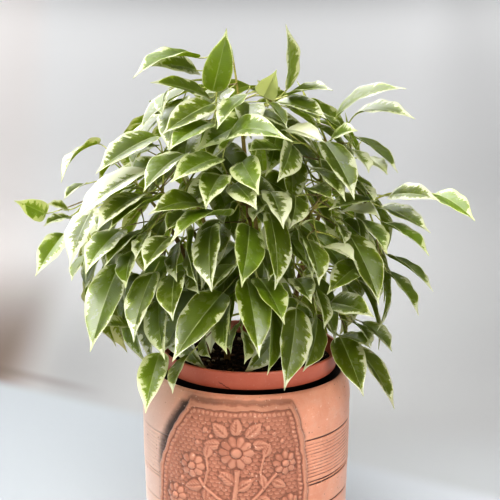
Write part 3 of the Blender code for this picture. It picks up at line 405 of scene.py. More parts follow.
# The plaque's design, in metres: x to the right of the pot's front, y down from its mouth.
# Each branch's line, half its width and its height
BRANCHES = (
    (
        ((-0.016, 0.1152), (-0.013, 0.0972), (-0.009, 0.0812), (-0.007, 0.0652), (-0.006, 0.0492)),
        0.0017,
        0.0017,
    ),
    (((-0.011, 0.0872), (0.000, 0.0802), (0.010, 0.0692), (0.018, 0.0592), (0.026, 0.0512)), 0.0011, 0.0013),
    (((-0.009, 0.0792), (-0.020, 0.0742), (-0.030, 0.0662), (-0.037, 0.0552)), 0.0011, 0.0013),
    (((-0.014, 0.1012), (-0.028, 0.0972), (-0.040, 0.0892), (-0.050, 0.0802)), 0.0011, 0.0013),
    (((-0.013, 0.0992), (0.002, 0.0962), (0.018, 0.0912), (0.030, 0.0832)), 0.0011, 0.0013),
    (((-0.030, 0.0662), (-0.027, 0.0532), (-0.028, 0.0432)), 0.0008, 0.0010),
    (((0.012, 0.0672), (0.010, 0.0532), (0.013, 0.0412)), 0.0008, 0.0010),
)
# Each leaf's base, the way it points (0 to the right, 90 down) and its length
RELIEF_LEAVES = (
    ((-0.007, 0.0262), -92, 0.0135), ((-0.013, 0.0272), -138, 0.0145), ((0.000, 0.0272), -44, 0.0145),
    ((-0.017, 0.0332), 178, 0.0130), ((0.004, 0.0332), 0, 0.0125), ((-0.007, 0.0632), -140, 0.0150),
    ((-0.007, 0.0672), -35, 0.0140), ((0.008, 0.0722), 35, 0.0130), ((0.018, 0.0602), 30, 0.0120),
    ((0.013, 0.0652), -100, 0.0100), ((-0.022, 0.0732), 120, 0.0140), ((-0.031, 0.0652), 165, 0.0140),
    ((-0.028, 0.0672), 95, 0.0110), ((-0.028, 0.0442), -80, 0.0120), ((0.013, 0.0422), -70, 0.0110),
    ((-0.030, 0.0962), 140, 0.0150), ((-0.042, 0.0872), -150, 0.0150), ((-0.030, 0.0962), -110, 0.0130),
    ((0.004, 0.0952), -60, 0.0130), ((0.004, 0.0962), 60, 0.0140), ((0.020, 0.0902), 35, 0.0140),
    ((0.022, 0.0892), -70, 0.0120),
)
# Each flower's middle, radius and number of petals, and each bud's middle and half width
FLOWERS = (
    ((-0.0065, 0.0387), 0.0125, 10), ((0.0275, 0.0477), 0.0088, 8), ((-0.0385, 0.0512), 0.0095, 8),
    ((-0.0530, 0.0772), 0.0085, 8), ((0.0320, 0.0807), 0.0085, 8),
)
BUDS = (
    ((-0.0290, 0.0232), 0.0017), ((-0.0245, 0.0277), 0.0012), ((0.0150, 0.0207), 0.0016),
    ((0.0195, 0.0252), 0.0012), ((0.0255, 0.0312), 0.0014), ((-0.0350, 0.0332), 0.0014),
    ((-0.0470, 0.0632), 0.0014), ((0.0150, 0.0772), 0.0013), ((-0.0180, 0.0572), 0.0012),
    ((0.0040, 0.0552), 0.0012),
)
# The colour of painted shade and smoke deep in the grooves of the wall, and of the plaque
PIT = (0.085, 0.042, 0.030)
RELIEF_PIT = (0.180, 0.080, 0.054)

# The nursery pot's fine surface, and the turns between which a scratch crosses its band
NURSERY_COLUMNS = 160
RIM_ROUND = 0.0011
BAND_WARP = 0.00012
SCRATCH_FROM = 5.93
SCRATCH_TO = 6.07

# The soil's fine surface, its side as shares of its radius at heights, its loose crumbs and its bark chips
SOIL_GRID = 120
SOIL_HUB = 0.0015
SOIL_SIDE = ((1.0, RIM_TOP - 0.016), (0.93, RIM_TOP - 0.022), (0.80, POT_FLOOR + 0.004))
HEAP_RISE, HEAP_REACH = 0.0008, 0.005
SOIL_SEED = 5
CRUMB_COUNT = 900
CRUMB_REACHES = (0.0006, 0.0022)
# Crumbs beyond this share of the soil's radius are smaller by the next
OUTER_FROM, OUTER_SIZE = 0.93, 0.6
CRUMB_SPREAD, CHIP_SPREAD = 0.965, 0.92
CRUMB_LIFT, CHIP_LIFT = 0.2, 0.0009
PALE_EVERY = 14
CHIP_COUNT = 70
CHIP_REACHES = (0.002, 0.0034)
CHIP_FLATNESS = 0.35
SOIL, GRAIN, CHIP = range(3)

# The floor's tones, near by and further off; the near right tone and the shaded tone are painted lighter where
# the plant's shadow falls
NEAR_LEFT_TONE = (0.375, 0.395, 0.415)
NEAR_RIGHT_TONE = (0.47, 0.49, 0.515)
MIDDLE_TONE = (0.375, 0.375, 0.375)
SHADOW_LIFT_TONE = (0.45, 0.46, 0.47)
FAR_TONE = (0.84, 0.84, 0.84)
FARTHEST_TONE = (0.98, 0.98, 0.98)
BLACK, WHITE = (0.0, 0.0, 0.0), (1.0, 1.0, 1.0)
# Its change of tone runs aslant: this much nearer for each metre to the right
FLOOR_SLANT = 0.65
FLOOR_REACH = 40.0
FLOOR_BELOW = 0.0002

WORLD_COLOUR = (0.93, 0.96, 1.0, 1.0)
WORLD_STRENGTH = 0.09
# Each soft light's name, place, target, width, height, spread in degrees, power in watts and colour;
# the three fields light the floor on both sides and in front, outside the picture
LIGHTS = (
    ("window_light", (-1.10, -0.35, 0.85), (-0.08, 0.0, 0.36), 0.8, 0.6, 50, 0.5, (1.0, 1.0, 0.98)),
    ("back_light", (-0.65, 1.10, 1.20), (0.0, 0.0, 0.32), 1.7, 1.2, 66, 3.7, (1.0, 1.0, 0.98)),
    ("sky_light", (-0.25, 0.30, 1.70), (0.0, 0.0, 0.30), 1.5, 1.5, 70, 2.4, (0.98, 0.99, 1.0)),
    ("room_light", (-0.32, -0.97, 1.50), (-0.02, 0.0, 0.30), 1.7, 1.1, 75, 7.6, (1.0, 0.99, 0.98)),
    ("low_fill", (0.90, -1.90, 0.30), (0.0, 0.0, 0.09), 0.8, 0.4, 50, 1.5, (1.0, 0.98, 0.95)),
    ("far_light", (0.0, 3.0, 2.6), (0.0, 2.9, 0.0), 5.0, 3.0, 100, 21.0, (1.0, 1.0, 1.0)),
    ("left_field", (-11.4, 0.0, 3.0), (-11.4, 0.001, 0.0), 20.0, 15.0, 50, 900.0, (1.0, 1.0, 1.0)),
    ("right_field", (11.4, 0.0, 3.0), (11.4, 0.001, 0.0), 20.0, 15.0, 50, 900.0, (1.0, 1.0, 1.0)),
    ("front_field", (0.0, -11.5, 3.0), (0.0, -11.499, 0.0), 5.0, 20.0, 50, 210.0, (1.0, 1.0, 1.0)),
)
# Daylight: an even, very soft light from the upper left, from which it comes as a direction
DAY_FROM = (-0.65, 0.25, 1.0)
DAY_STRENGTH = 0.50
DAY_SOFTNESS = math.radians(40)
PICTURE_PIXELS = 500
SENSOR_WIDTH = 36.0


def soil_height(x, y):
    """The soil's surface: a low mound with a gentle roll."""
    away = math.hypot(x, y) / RIM_RADIUS
    roll = SOIL_ROLL * math.sin(ROLL_TURNS[0] * x + ROLL_START) * math.cos(ROLL_TURNS[1] * y)
    return RIM_TOP - SOIL_BELOW_RIM + SOIL_MOUND * (1 - away**2) + roll


def hole_bottom(root):
    return soil_height(*root) - HOLE_DEPTH


def view_axes():
    right = Vector((1, 0, 0))
    ahead = Vector((0, math.cos(VIEW_PITCH), -math.sin(VIEW_PITCH)))
    up = Vector((0, math.sin(VIEW_PITCH), math.cos(VIEW_PITCH)))
    return right, ahead, up


def ray_through(x, y):
    """From the eye through a pixel, one metre deep along the view's axis."""
    right, ahead, up = view_axes()
    return ahead + right * (x - PICTURE_MIDDLE) / FOCAL_PIXELS - up * (y - PICTURE_MIDDLE) / FOCAL_PIXELS


def eye_point():
    """The eye stands where the pot's mouth falls on its pixel at the view's distance."""
    return Vector((0, 0, POT_HEIGHT)) - ray_through(*MOUTH_PIXEL) * VIEW_DISTANCE


EYE = eye_point()


def outside_canopy(point):
    """How far a point is outside the canopy's surface, negative inside it."""
    height = point.z - POT_HEIGHT
    x = point.x - CANOPY_CENTRE.x
    y = (point.y - CANOPY_CENTRE.y) / CANOPY_DEPTH_SHARE
    first, last = CANOPY_OUTLINE[0], CANOPY_OUTLINE[-1]
    if height <= first[0]:
        return math.hypot(x, y) - first[1] + (first[0] - height)
    if height >= last[0]:
        return math.hypot(x, y) - last[1] + (height - last[0])
    return math.hypot(x, y) - canopy_radius(height)


def canopy_radius(height):
    """The canopy's radius at a height above the pot's mouth."""
    for (low, narrow), (high, wide) in zip(CANOPY_OUTLINE, CANOPY_OUTLINE[1:]):
        if height <= high:
            return narrow + (wide - narrow) * (height - low) / (high - low)
    return CANOPY_OUTLINE[-1][1]


def canopy_depth(x, y):
    """Depth from the eye at which the ray through a pixel meets the canopy, or comes nearest to it."""
    ray = ray_through(x, y)
    nearest, best = VIEW_DISTANCE, 1.0
    for step in range(DEPTH_STEPS):
        depth = NEAREST_DEPTH + DEPTH_STEP * step
        outside = outside_canopy(EYE + ray * depth)
        if outside <= 0:
            return depth
        if outside < best - NEARER_BY:
            nearest, best = depth, outside
    return nearest


def picture_point(point):
    """The pixel at which the view shows a point."""
    right, ahead, up = view_axes()
    offset = point - EYE
    scale = FOCAL_PIXELS / offset.dot(ahead)
    return PICTURE_MIDDLE + offset.dot(right) * scale, PICTURE_MIDDLE - offset.dot(up) * scale


def inside_outline(point):
    """Whether the view shows a point within PICTURE_OUTLINE."""
    x, y = picture_point(point)
    inside = False
    ends = PICTURE_OUTLINE[1:] + PICTURE_OUTLINE[:1]
    for (from_x, from_y), (to_x, to_y) in zip(PICTURE_OUTLINE, ends):
        crossed = (from_y > y) != (to_y > y)
        if crossed and x < from_x + (to_x - from_x) * (y - from_y) / (to_y - from_y):
            inside = not inside
    return inside


def tip_on_ray(base, ray, length):
    """The point of a ray at a leaf's length from its base, on the viewer's side."""
    offset = EYE - base
    along = ray.dot(offset)
    square = ray.dot(ray)
    inside = along * along - square * (offset.dot(offset) - length * length)
    depth = (-along - math.sqrt(max(inside, 0.0))) / square
    return EYE + ray * depth


def seen_leaf(row, set_back, roll):
    """The leaf of a row of SEEN_LEAVES, moved back along its rays and rolled about its axis."""
    base_x, base_y, tip_x, tip_y, width_pixels, layer, length = row
    length = length / 1000  # metres
    depth = canopy_depth((base_x + tip_x) / 2, (base_y + tip_y) / 2) + layer * LAYER_STEP + set_back
    seen_length = math.hypot(tip_x - base_x, tip_y - base_y) * depth / FOCAL_PIXELS
    towards = math.sqrt(max(length**2 - seen_length**2, 0.0))
    base = EYE + ray_through(base_x, base_y) * (depth + towards / 2)
    tip = tip_on_ray(base, ray_through(tip_x, tip_y), length)
    axis = (tip - base).normalized()
    to_eye = (EYE - base).normalized()
    facing = (to_eye - axis * to_eye.dot(axis)).normalized()
    side = axis.cross(facing)
    length = (tip - base).length
    width = length * WIDTH_SHARE
    seen_share = width_pixels * depth / FOCAL_PIXELS / width
    angle = math.acos(min(max(seen_share, NARROWEST_SEEN), 1.0))
    wanted = outward_and_up(base)
    straight, aside = facing * math.cos(angle), side * math.sin(angle)
    if (straight + aside).dot(wanted) < (straight - aside).dot(wanted):
        angle = -angle
    angle += roll
    normal = facing * math.cos(angle) + side * math.sin(angle)
    arch = ARCHED_LEAVES.get((base_x, base_y), SEEN_ARCH)
    return Leaf(base, tip, normal, width, arch, BLADE_STATIONS)


def outward_and_up(point):
    outward = Vector((point.x - CANOPY_CENTRE.x, point.y - CANOPY_CENTRE.y, 0))
    if outward.length > 0:
        outward.normalize()
    return (outward * FACES_OUT + Vector((0, 0, FACES_UP))).normalized()


def obstacle(points, faces, owner):
    centre = sum(points, Vector()) / len(points)
    reach = max((point - centre).length for point in points)
    return Obstacle(BVHTree.FromPolygons(points, faces), centre, reach, owner)


def crosses(shape, obstacles):
    """Whether a shape meets any obstacle."""
    for other in obstacles:
        if (other.centre - shape.centre).length > other.reach + shape.reach:
            continue
        if shape.tree.overlap(other.tree):
            return True
    return False


def leaf_guard(leaf):
    """A leaf's blade, a little larger than life, for keeping others clear of it."""
    points, faces = blade_shell(leaf, CLEAR_THICKNESS, CLEAR_WIDTH)
    return obstacle(points, faces, None)


def bend(start, control, end, share):
    return start * (1 - share) ** 2 + control * 2 * share * (1 - share) + end * share**2


def ring_faces(rings, wide, turned=False):
    """Faces between rings of points, each as many points wide; turned ones run the other way round."""
    faces = []
    for ring in range(rings - 1):
        for spoke in range(wide):
            here, beside = ring * wide + spoke, ring * wide + (spoke + 1) % wide
            if turned:
                faces.append((here, here + wide, beside + wide, beside))
            else:
                faces.append((here, beside, beside + wide, here + wide))
    return faces


def tube_shell(path, radius, sides=4):
    """Points and faces of a plain tube along a path, for clearance tests."""
    points = []
    for index, point in enumerate(path):
        along = path[min(index + 1, len(path) - 1)] - path[max(index - 1, 0)]
        across = along.orthogonal().normalized()
        over = along.cross(across).normalized()
        for corner in range(sides):
            turn = 2 * math.pi * corner / sides
            points.append(point + across * radius * math.cos(turn) + over * radius * math.sin(turn))
    return points, ring_faces(len(path), sides)


def stem_line(root, crown):
    """The points that a main stem's route is bent between: its foot, start, control point and end."""
    foot = Vector((root[0], root[1], hole_bottom(root) + SEAT_GAP))
    start = foot + Vector((0, 0, HOLE_DEPTH + UPRIGHT_ABOVE_SOIL))
    end = Vector(crown)
    control = Vector((root[0], root[1], 0)) * STEM_SPREAD_START
    control.z = start.z + (end.z - start.z) * STEM_LEAN_START
    return foot, start, control, end


def stem_path(root, crown):
    """A main stem's route: upright in its hole, then leaning out to its crown."""
    foot, start, control, end = stem_line(root, crown)
    return [foot] + [bend(start, control, end, index / STEM_BENDS) for index in range(STEM_BENDS + 1)]


def place_leaves(ways_of_leaves, obstacles):
    """Places leaves one by one, each in the first of its ways that is clear of all obstacles and leaves."""
    leaves, guards = [], []
    for ways in ways_of_leaves:
        for leaf in ways:
            guard = leaf_guard(leaf)
            if not crosses(guard, obstacles):
                leaves.append(leaf)
                guards.append(guard)
                obstacles.append(guard)
                break
    return leaves, guards


def seen_ways():
    """For each of SEEN_LEAVES, front layer first, its ways: moved back and rolled step by step."""
    for row in sorted(SEEN_LEAVES, key=lambda row: row[LAYER_COLUMN]):
        yield (
            seen_leaf(row, STEP_BACK * step, math.radians(roll))
            for step in range(STEPS_BACK)
            for roll in ROLLS
        )


def canopy_spread():
    """The canopy's skin from its foot to its top: each length's share of the whole area, up to its end."""
    area, spread = 0.0, []
    for (low, narrow), (high, wide) in zip(CANOPY_OUTLINE[1:], CANOPY_OUTLINE[2:]):
        area += (narrow + wide) / 2 * math.hypot(high - low, wide - narrow)
        spread.append((area, (low, narrow), (high, wide)))
    return [(end / area, start, stop) for end, start, stop in spread]


def fill_leaf(chance, index, inward, turn):
    """A leaf on the canopy's skin at one of a spread of places, hanging outwards."""
    azimuth = index * math.pi * (3 - math.sqrt(5))
    share, before = (index + 0.5) / FILL_COUNT, 0.0
    for end, (low, narrow), (high, wide) in canopy_spread():
        if share <= end:
            break
        before = end
    along = (share - before) / (end - before)
    outward = Vector((math.sin(azimuth), -math.cos(azimuth), 0))
    up_skin = (outward * (wide - narrow) + Vector((0, 0, high - low))).normalized()
    out_skin = (outward * up_skin.z - Vector((0, 0, up_skin.dot(outward)))).normalized()
    if outward.y < FRONT_SIDE:
        inward += FRONT_FILL_DEPTH
    elif index % FILL_BACK_EVERY == 0:
        inward += BACK_FILL_DEPTH
    radius = narrow + (wide - narrow) * along
    skin = outward * radius
    middle = CANOPY_CENTRE + Vector((skin.x, skin.y * CANOPY_DEPTH_SHARE, 0))
    middle += Vector((0, 0, POT_HEIGHT + low + (high - low) * along)) - out_skin * inward
    sideways = Vector((-outward.y, outward.x, 0)) * (FILL_SWAY * (chance[2] - 0.5) + turn)
    axis = (out_skin * (FILL_LEANS[0] + FILL_LEANS[1] * chance[1]) + sideways - up_skin).normalized()
    length = FILL_LENGTHS[0] + (FILL_LENGTHS[1] - FILL_LENGTHS[0]) * chance[0]
    base = middle - axis * length * FILL_BASE_SHARE
    wanted = out_skin + Vector((0, 0, FILL_FACES_UP)) + sideways * (chance[3] - 0.5)
    normal = (wanted - axis * wanted.dot(axis)).normalized()
    return Leaf(base, base + axis * length, normal, length * WIDTH_SHARE, FILL_ARCH, PLAIN_STATIONS)


def fill_ways():
    """For each leaf that the rule adds round the canopy, its ways that stay inside the picture's outline."""
    draw = random.Random(FILL_SEED)
    for index in range(FILL_COUNT):
        chance = [draw.random() for _ in range(4)]
        ways = (
            fill_leaf(chance, index, FILL_STEP_IN * step, turn)
            for step in range(FILL_STEPS_IN)
            for turn in FILL_TURNS
        )
        yield (leaf for leaf in ways if leaf_inside_outline(leaf))


def leaf_inside_outline(leaf):
    return all(inside_outline(point) for point in (leaf.base, leaf.base.lerp(leaf.tip, 0.5), leaf.tip))


class Growth:
    """The woody parts of one leafy stem: its main stem, and twigs that reach out to its leaves."""

    def __init__(self, name, path):
        self.name = name
        self.paths = [path]
        self.forks = []
        self.leaves = []
        for here, there in zip(path[FIRST_FORK:], path[FIRST_FORK + 1 :]):
            for share in FORK_SHARES:
                self.forks.append((here.lerp(there, share), here, 0.0))

    def distance(self, point):
        return min((fork[0] - point).length for fork in self.forks)


def twig_paths(start, leaf):
    """Ways for a twig from a fork to just short of a leaf's base, each arching or ending another way."""
    gap = leaf.base - start
    axis = (leaf.tip - leaf.base).normalized()
    up = Vector((0, 0, 1))
    aside = gap.normalized().cross(up)
    for lift in TWIG_LIFTS:
        end = leaf.base - (gap.normalized() + axis - up * lift).normalized() * STALK_LENGTH
        for sway in TWIG_SWAYS:
            for way in (up, aside, -aside, -up):
                control = start.lerp(end, 0.5) + way * gap.length * sway
                yield [bend(start, control, end, share) for share in (0.0, 0.5, 1.0)]


def bends_gently(leaf, root):
    """Whether a stalk from a root meets the blade's base without turning back or coming in sideways."""
    axis = (leaf.tip - leaf.base).normalized()
    out = (leaf.base - root).normalized()
    return out.dot(axis) > SHARPEST_TURN and abs(out.dot(axis.cross(leaf.normal))) < MOST_SIDEWAYS


def join_from(growth, fork, leaf, others, stray, shortest_twig):
    """Joins a leaf to a fork if its stalk, or a new twig and its stalk, has a clear way."""
    point, before, travelled = fork
    away = (point - leaf.base).length
    sunk = point.lerp(before, min(ROOT_SUNK / max((point - before).length, ROOT_SUNK), 0.5)) + stray
    if away < STALK_LENGTH * SHORTEST_STALK_SHARE:
        return None
    if away <= LONGEST_STALK and bends_gently(leaf, sunk):
        guard = obstacle(*tube_shell([sunk, leaf.base], STALK_CLEAR), growth.name)
        if not crosses(guard, others):
            growth.leaves.append((leaf, sunk))
            return guard
    if away < shortest_twig:
        return None
    for path in twig_paths(point + stray, leaf):
        if not bends_gently(leaf, path[-1]):
            continue
        guard = obstacle(*tube_shell(path + [leaf.base], TWIG_CLEAR), growth.name)
        if crosses(guard, others):
            continue
        growth.paths.append(path)
        for here, there in zip(path, path[1:]):
            middle = here.lerp(there, 0.5)
            growth.forks.append((middle, here, travelled + (middle - point).length))
        root = path[-1].lerp(path[-2], TWIG_END_SHARE) + stray * END_STRAY_SHARE
        growth.leaves.append((leaf, root))
        return guard
    return None


def join_leaves(growths, leaves, guards, obstacles, first=()):
    """Joins leaves to the stems: some first, then those nearest a stem. Returns those with no clear way."""
    draw = random.Random(GROWTH_SEED)
    away = [min(growth.distance(leaf.base) for growth in growths) for leaf in leaves]
    order = sorted(range(len(leaves)), key=lambda index: away[index])
    left_out = []
    for index in list(first) + [index for index in order if index not in first]:
        leaf, guard = leaves[index], guards[index]
        stray = Vector([draw.uniform(-START_STRAY, START_STRAY) for _ in range(3)])
        ways = []
        for growth in growths:
            for fork in growth.forks:
                ways.append(((fork[0] - leaf.base).length + TWIG_COST * fork[2], growth, fork))
        ways.sort(key=lambda way: way[0])
        joined = None
        for shortest_twig in (LONGEST_STALK, SHORTEST_TWIG):
            for _, growth, fork in ways[:MOST_TRIES]:
                if joined:
                    break
                others = [other for other in obstacles if other is not guard and other.owner != growth.name]
                joined = join_from(growth, fork, leaf, others, stray, shortest_twig)
        if joined:
            obstacles.append(joined)
        else:
            left_out.append(index)
            obstacles.remove(guard)
    return left_out


def grow(pots):
    """Places the leaves and joins them to the stems, each clear of everything of another stem.

    Leaves of the picture that find no clear way are joined before the others in the next round.
    """
    walls = []
    for pot in pots:
        points = [vertex.co.copy() for vertex in pot.data.vertices]
        walls.append(obstacle(points, [tuple(face.vertices) for face in pot.data.polygons], "pots"))
    first = []
    for _ in range(MOST_ROUNDS):
        growths = [Growth(name, stem_path(*where)) for name, where in STEMS.items()]
        stems = [obstacle(*tube_shell(g.paths[0], STEM_CLEAR, 6), g.name) for g in growths]
        obstacles = walls + stems
        leaves, guards = place_leaves(seen_ways(), obstacles)
        left_out = join_leaves(growths, leaves, guards, obstacles, first)
        if not left_out:
            break
        first = left_out + [index for index in first if index not in left_out]
    leaves, guards = place_leaves(fill_ways(), obstacles)
    join_leaves(growths, leaves, guards, obstacles)
    return growths


def blade_shell(leaf, thickness, widen):
    """Points and triangles of a leaf's blade as the model has it, for keeping others clear of it."""
    chord = leaf.tip - leaf.base
    side = chord.normalized().cross(leaf.normal).normalized()
    sections = []
    for along, share in leaf.stations:
        rise = leaf.arch * chord.length * 4 * along * (1 - along)
        middle = leaf.base + chord * along + leaf.normal * rise
        half = share * widen * leaf.width / 2
        lift = leaf.normal * half * math.sin(BLADE_FOLD)
        reach = side * half * math.cos(BLADE_FOLD)
        thick = leaf.normal * thickness / 2
        sections.append((middle - reach + lift, middle + thick, middle + reach + lift, middle - thick))
    points = [leaf.base]
    faces = [(0, 1 + corner, 1 + (corner + 1) % 4) for corner in range(4)]
    points += [point for section in sections for point in section]
    points.append(leaf.tip)
    for section in range(len(sections) - 1):
        here = 1 + 4 * section
        for edge, middle in ((0, 1), (2, 1), (0, 3), (2, 3)):
            faces.append((here + edge, here + middle, here + 4 + middle))
            faces.append((here + edge, here + 4 + middle, here + 4 + edge))
    last = 1 + 4 * (len(sections) - 1)
    faces += [(last + corner, last + (corner + 1) % 4, len(points) - 1) for corner in range(4)]
    return points, faces


def linked(name, data):
    """A new object of the scene with the given data."""
    made = bpy.data.objects.new(name, data)
    bpy.context.scene.collection.objects.link(made)
    return made


class Mesh:
    """A mesh in the making: points with their four texture places, faces with their material's number."""

    MAPS = ("place", "edge", "pick", "look")

    def __init__(self):
        self.points, self.places, self.faces, self.numbers = [], [], [], []

    def add(self, points, places, faces, number):
        """Adds points, each with four pairs of numbers, and faces that count from the first of them."""
        first = len(self.points)
        self.points += points
        self.places += places
        for face in faces:
            self.faces.append(tuple(first + corner for corner in face))
            self.numbers.append(number)

    def turn_solid(self, rings, wide):
        """Joins the rings of points added so far to a closed solid of the first material."""
        last = (rings - 1) * wide
        ends = [tuple(range(wide)), tuple(range(last, last + wide))[::-1]]
        self.faces = ring_faces(rings, wide, True) + ends
        self.numbers = [0] * len(self.faces)

    def made(self, name, materials, sharp):
        mesh = bpy.data.meshes.new(name)
        mesh.from_pydata([tuple(point) for point in self.points], [], self.faces)
        for one in materials:
            mesh.materials.append(one)
        mesh.polygons.foreach_set("material_index", self.numbers)
        corners = np.zeros(len(mesh.loops), np.int32)
        mesh.loops.foreach_get("vertex_index", corners)
        places = np.array(self.places, np.float32)
        for number, map_name in enumerate(self.MAPS):
            layer = mesh.uv_layers.new(name=map_name)
            layer.data.foreach_set("uv", places[corners, 2 * number : 2 * number + 2].ravel())
        mesh.shade_smooth()
        mesh.set_sharp_from_angle(angle=math.radians(sharp))
        return linked(name, mesh)


def clamped(share):
    return min(max(share, 0.0), 1.0)


def round_axis(radius, turn):
    """Where a point at a radius stands, turned from the pot's front to its right."""
    return radius * math.sin(turn), -radius * math.cos(turn)


def smooth_between(table, x):
    """A smooth curve through a table of places and values (cubic, with the table's own slopes)."""
    last = len(table) - 1
    for index in range(last):
        (x0, y0), (x1, y1) = table[index], table[index + 1]
        if x <= x1 or index == last - 1:
            break
    before = table[max(index - 1, 0)]
    after = table[min(index + 2, last)]
    slope0 = (y1 - before[1]) / (x1 - before[0])
    slope1 = (after[1] - y0) / (after[0] - x0)
    t = min(max((x - x0) / (x1 - x0), 0.0), 1.0)
    width = x1 - x0
    return (
        y0 * (2 * t**3 - 3 * t**2 + 1)
        + slope0 * width * (t**3 - 2 * t**2 + t)
        + y1 * (3 * t**2 - 2 * t**3)
        + slope1 * width * (t**3 - t**2)
    )


def leaf_points(leaf, draw):
    """Middle, outward normal and half width at each station of a leaf, with its drip tip bent."""
    chord = leaf.tip - leaf.base
    length = chord.length
    side = chord.normalized().cross(leaf.normal).normalized()
    droop = draw.uniform(*TIP_DROOPS)
    sway = draw.uniform(*TIP_SWAYS)
    for index in range(LEAF_STATIONS):
        share = index / (LEAF_STATIONS - 1)
        along = share - STATION_SHIFT * math.sin(2 * math.pi * share)
        rise = leaf.arch * length * 4 * along * (1 - along)
        slope = leaf.arch * length * 4 * (1 - 2 * along)
        tip_share = max(along - DRIP_TIP_FROM, 0.0) / DRIP_TIP_LENGTH
        middle = leaf.base + chord * along + leaf.normal * (rise - droop * length * tip_share**2)
        middle += side * sway * length * tip_share**2
        tangent = (chord + leaf.normal * slope).normalized()
        up = side.cross(tangent).normalized()
        half = leaf.width / 2 * max(smooth_between(LEAF_OUTLINE, along), NARROWEST_SHARE)
        yield along, middle, side, up, half


def add_blade(mesh, leaf, look, draw):
    """Adds a leaf's blade: a thin closed shell with a fold at the midrib, curled sides and a rippled edge."""
    length = (leaf.tip - leaf.base).length
    picks = (draw.random(), draw.random())
    waves = [(draw.uniform(*RIPPLE_COUNTS), draw.uniform(0, 2 * math.pi)) for _ in range(2)]
    ripple = RIPPLE * draw.uniform(*RIPPLE_SHARES)
    fold = math.sin(BLADE_FOLD) * draw.uniform(*FOLD_SHARES)
    top, under, places = [], [], []
    for along, middle, side, up, half in leaf_points(leaf, draw):
        swell = math.sin(math.pi * min(along * 1.15, 1.0))
        for column in LEAF_COLUMNS:
            out = abs(column)
            count, start = waves[column > 0]
            lift = half * fold * (SIDE_RISE * out - SIDE_CURL * out * out)
            lift += ripple * swell * out**3 * math.sin(2 * math.pi * count * along + start)
            point = middle + side * half * column * math.cos(BLADE_FOLD) + up * lift
            rim = 0.0 if out == 1.0 else LEAF_THICKNESS / 2
            rib = RIB_DEPTH * (1 - along) if column == 0.0 else 0.0
            top.append(point + up * rim)
            under.append(point - up * (rim + rib))
            place = (along * length * PLACE_SCALE, half * column * PLACE_SCALE + 0.5)
            places.append((*place, half * (1 - out) * PLACE_SCALE, along, *picks, *look))
    wide = len(LEAF_COLUMNS)
    faces = []
    for station in range(LEAF_STATIONS - 1):
        for column in range(wide - 1):
            here = station * wide + column
            faces.append((here, here + 1, here + wide + 1, here + wide))
    first = len(mesh.points)
    mesh.add(top, places, faces, TOP)
    # the rim's points are shared by both faces
    shared, loose = {}, []
    for index in range(len(top)):
        station, column = divmod(index, wide)
        if column in (0, wide - 1) or station in (0, LEAF_STATIONS - 1):
            shared[index] = index
        else:
            shared[index] = len(top) + len(loose)
            loose.append(index)
    mesh.add([under[index] for index in loose], [places[index] for index in loose], [], UNDER)
    for face in faces:
        mesh.faces.append(tuple(first + shared[corner] for corner in face[::-1]))
        mesh.numbers.append(UNDER)


def add_tube(mesh, path, radii, sides, number, places_along, pick):
    """Adds a round tube along a path, closed at both ends; each ring's place runs from 0 to its length."""
    points, places = [], []
    across = (path[1] - path[0]).orthogonal().normalized()
    travelled = 0.0
    for index, point in enumerate(path):
        along = (path[min(index + 1, len(path) - 1)] - path[max(index - 1, 0)]).normalized()
        across = (across - along * across.dot(along)).normalized()
        over = along.cross(across)
        if index:
            travelled += (point - path[index - 1]).length
        for corner in range(sides):
            turn = 2 * math.pi * corner / sides
            direction = across * math.cos(turn) + over * math.sin(turn)
            points.append(point + direction * radii[index])
            places.append((travelled * PLACE_SCALE, corner / sides, places_along[index], 0.0, *pick, 0.0, 0.0))
    last = (len(path) - 1) * sides
    ends = [tuple(range(sides))[::-1], tuple(range(last, last + sides))]
    mesh.add(points, places, ring_faces(len(path), sides) + ends, number)


def add_stalk(mesh, leaf, root, draw):
    """Adds a leaf's stalk: a curve from its root that runs into the blade's midrib."""
    chord = leaf.tip - leaf.base
    gap = (leaf.base - root).length
    into = (chord + leaf.normal * leaf.arch * chord.length * 4).normalized()
    out = (leaf.base - root).normalized()
    reach = min(gap * 0.4, LONGEST_BEND)
    end = leaf.base + into * STALK_IN_BLADE
    bends = (root, root + out * reach, leaf.base - into * reach * 0.8, end)
    path, radii, along = [], [], []
    for index in range(STALK_RINGS):
        t = index / (STALK_RINGS - 1)
        weights = ((1 - t) ** 3, 3 * t * (1 - t) ** 2, 3 * t * t * (1 - t), t**3)
        path.append(sum((point * weight for point, weight in zip(bends, weights)), Vector()))
        radii.append(STALK_RADIUS - STALK_NARROWS * t + STALK_FOOT * max(1 - t * 6, 0))
        along.append((1 - t) * gap * PLACE_SCALE)
    radii[-1] = STALK_END_RADIUS
    path[-1] -= leaf.normal * 0.0001
    add_tube(mesh, path, radii, STALK_SIDES, STALK, along, (draw.random(), draw.random()))


def end_of(path, radii):
    """Where a shoot ends, the way it points there, and its radius."""
    return path[-1], (path[-1] - path[-2]).normalized(), radii[-1]


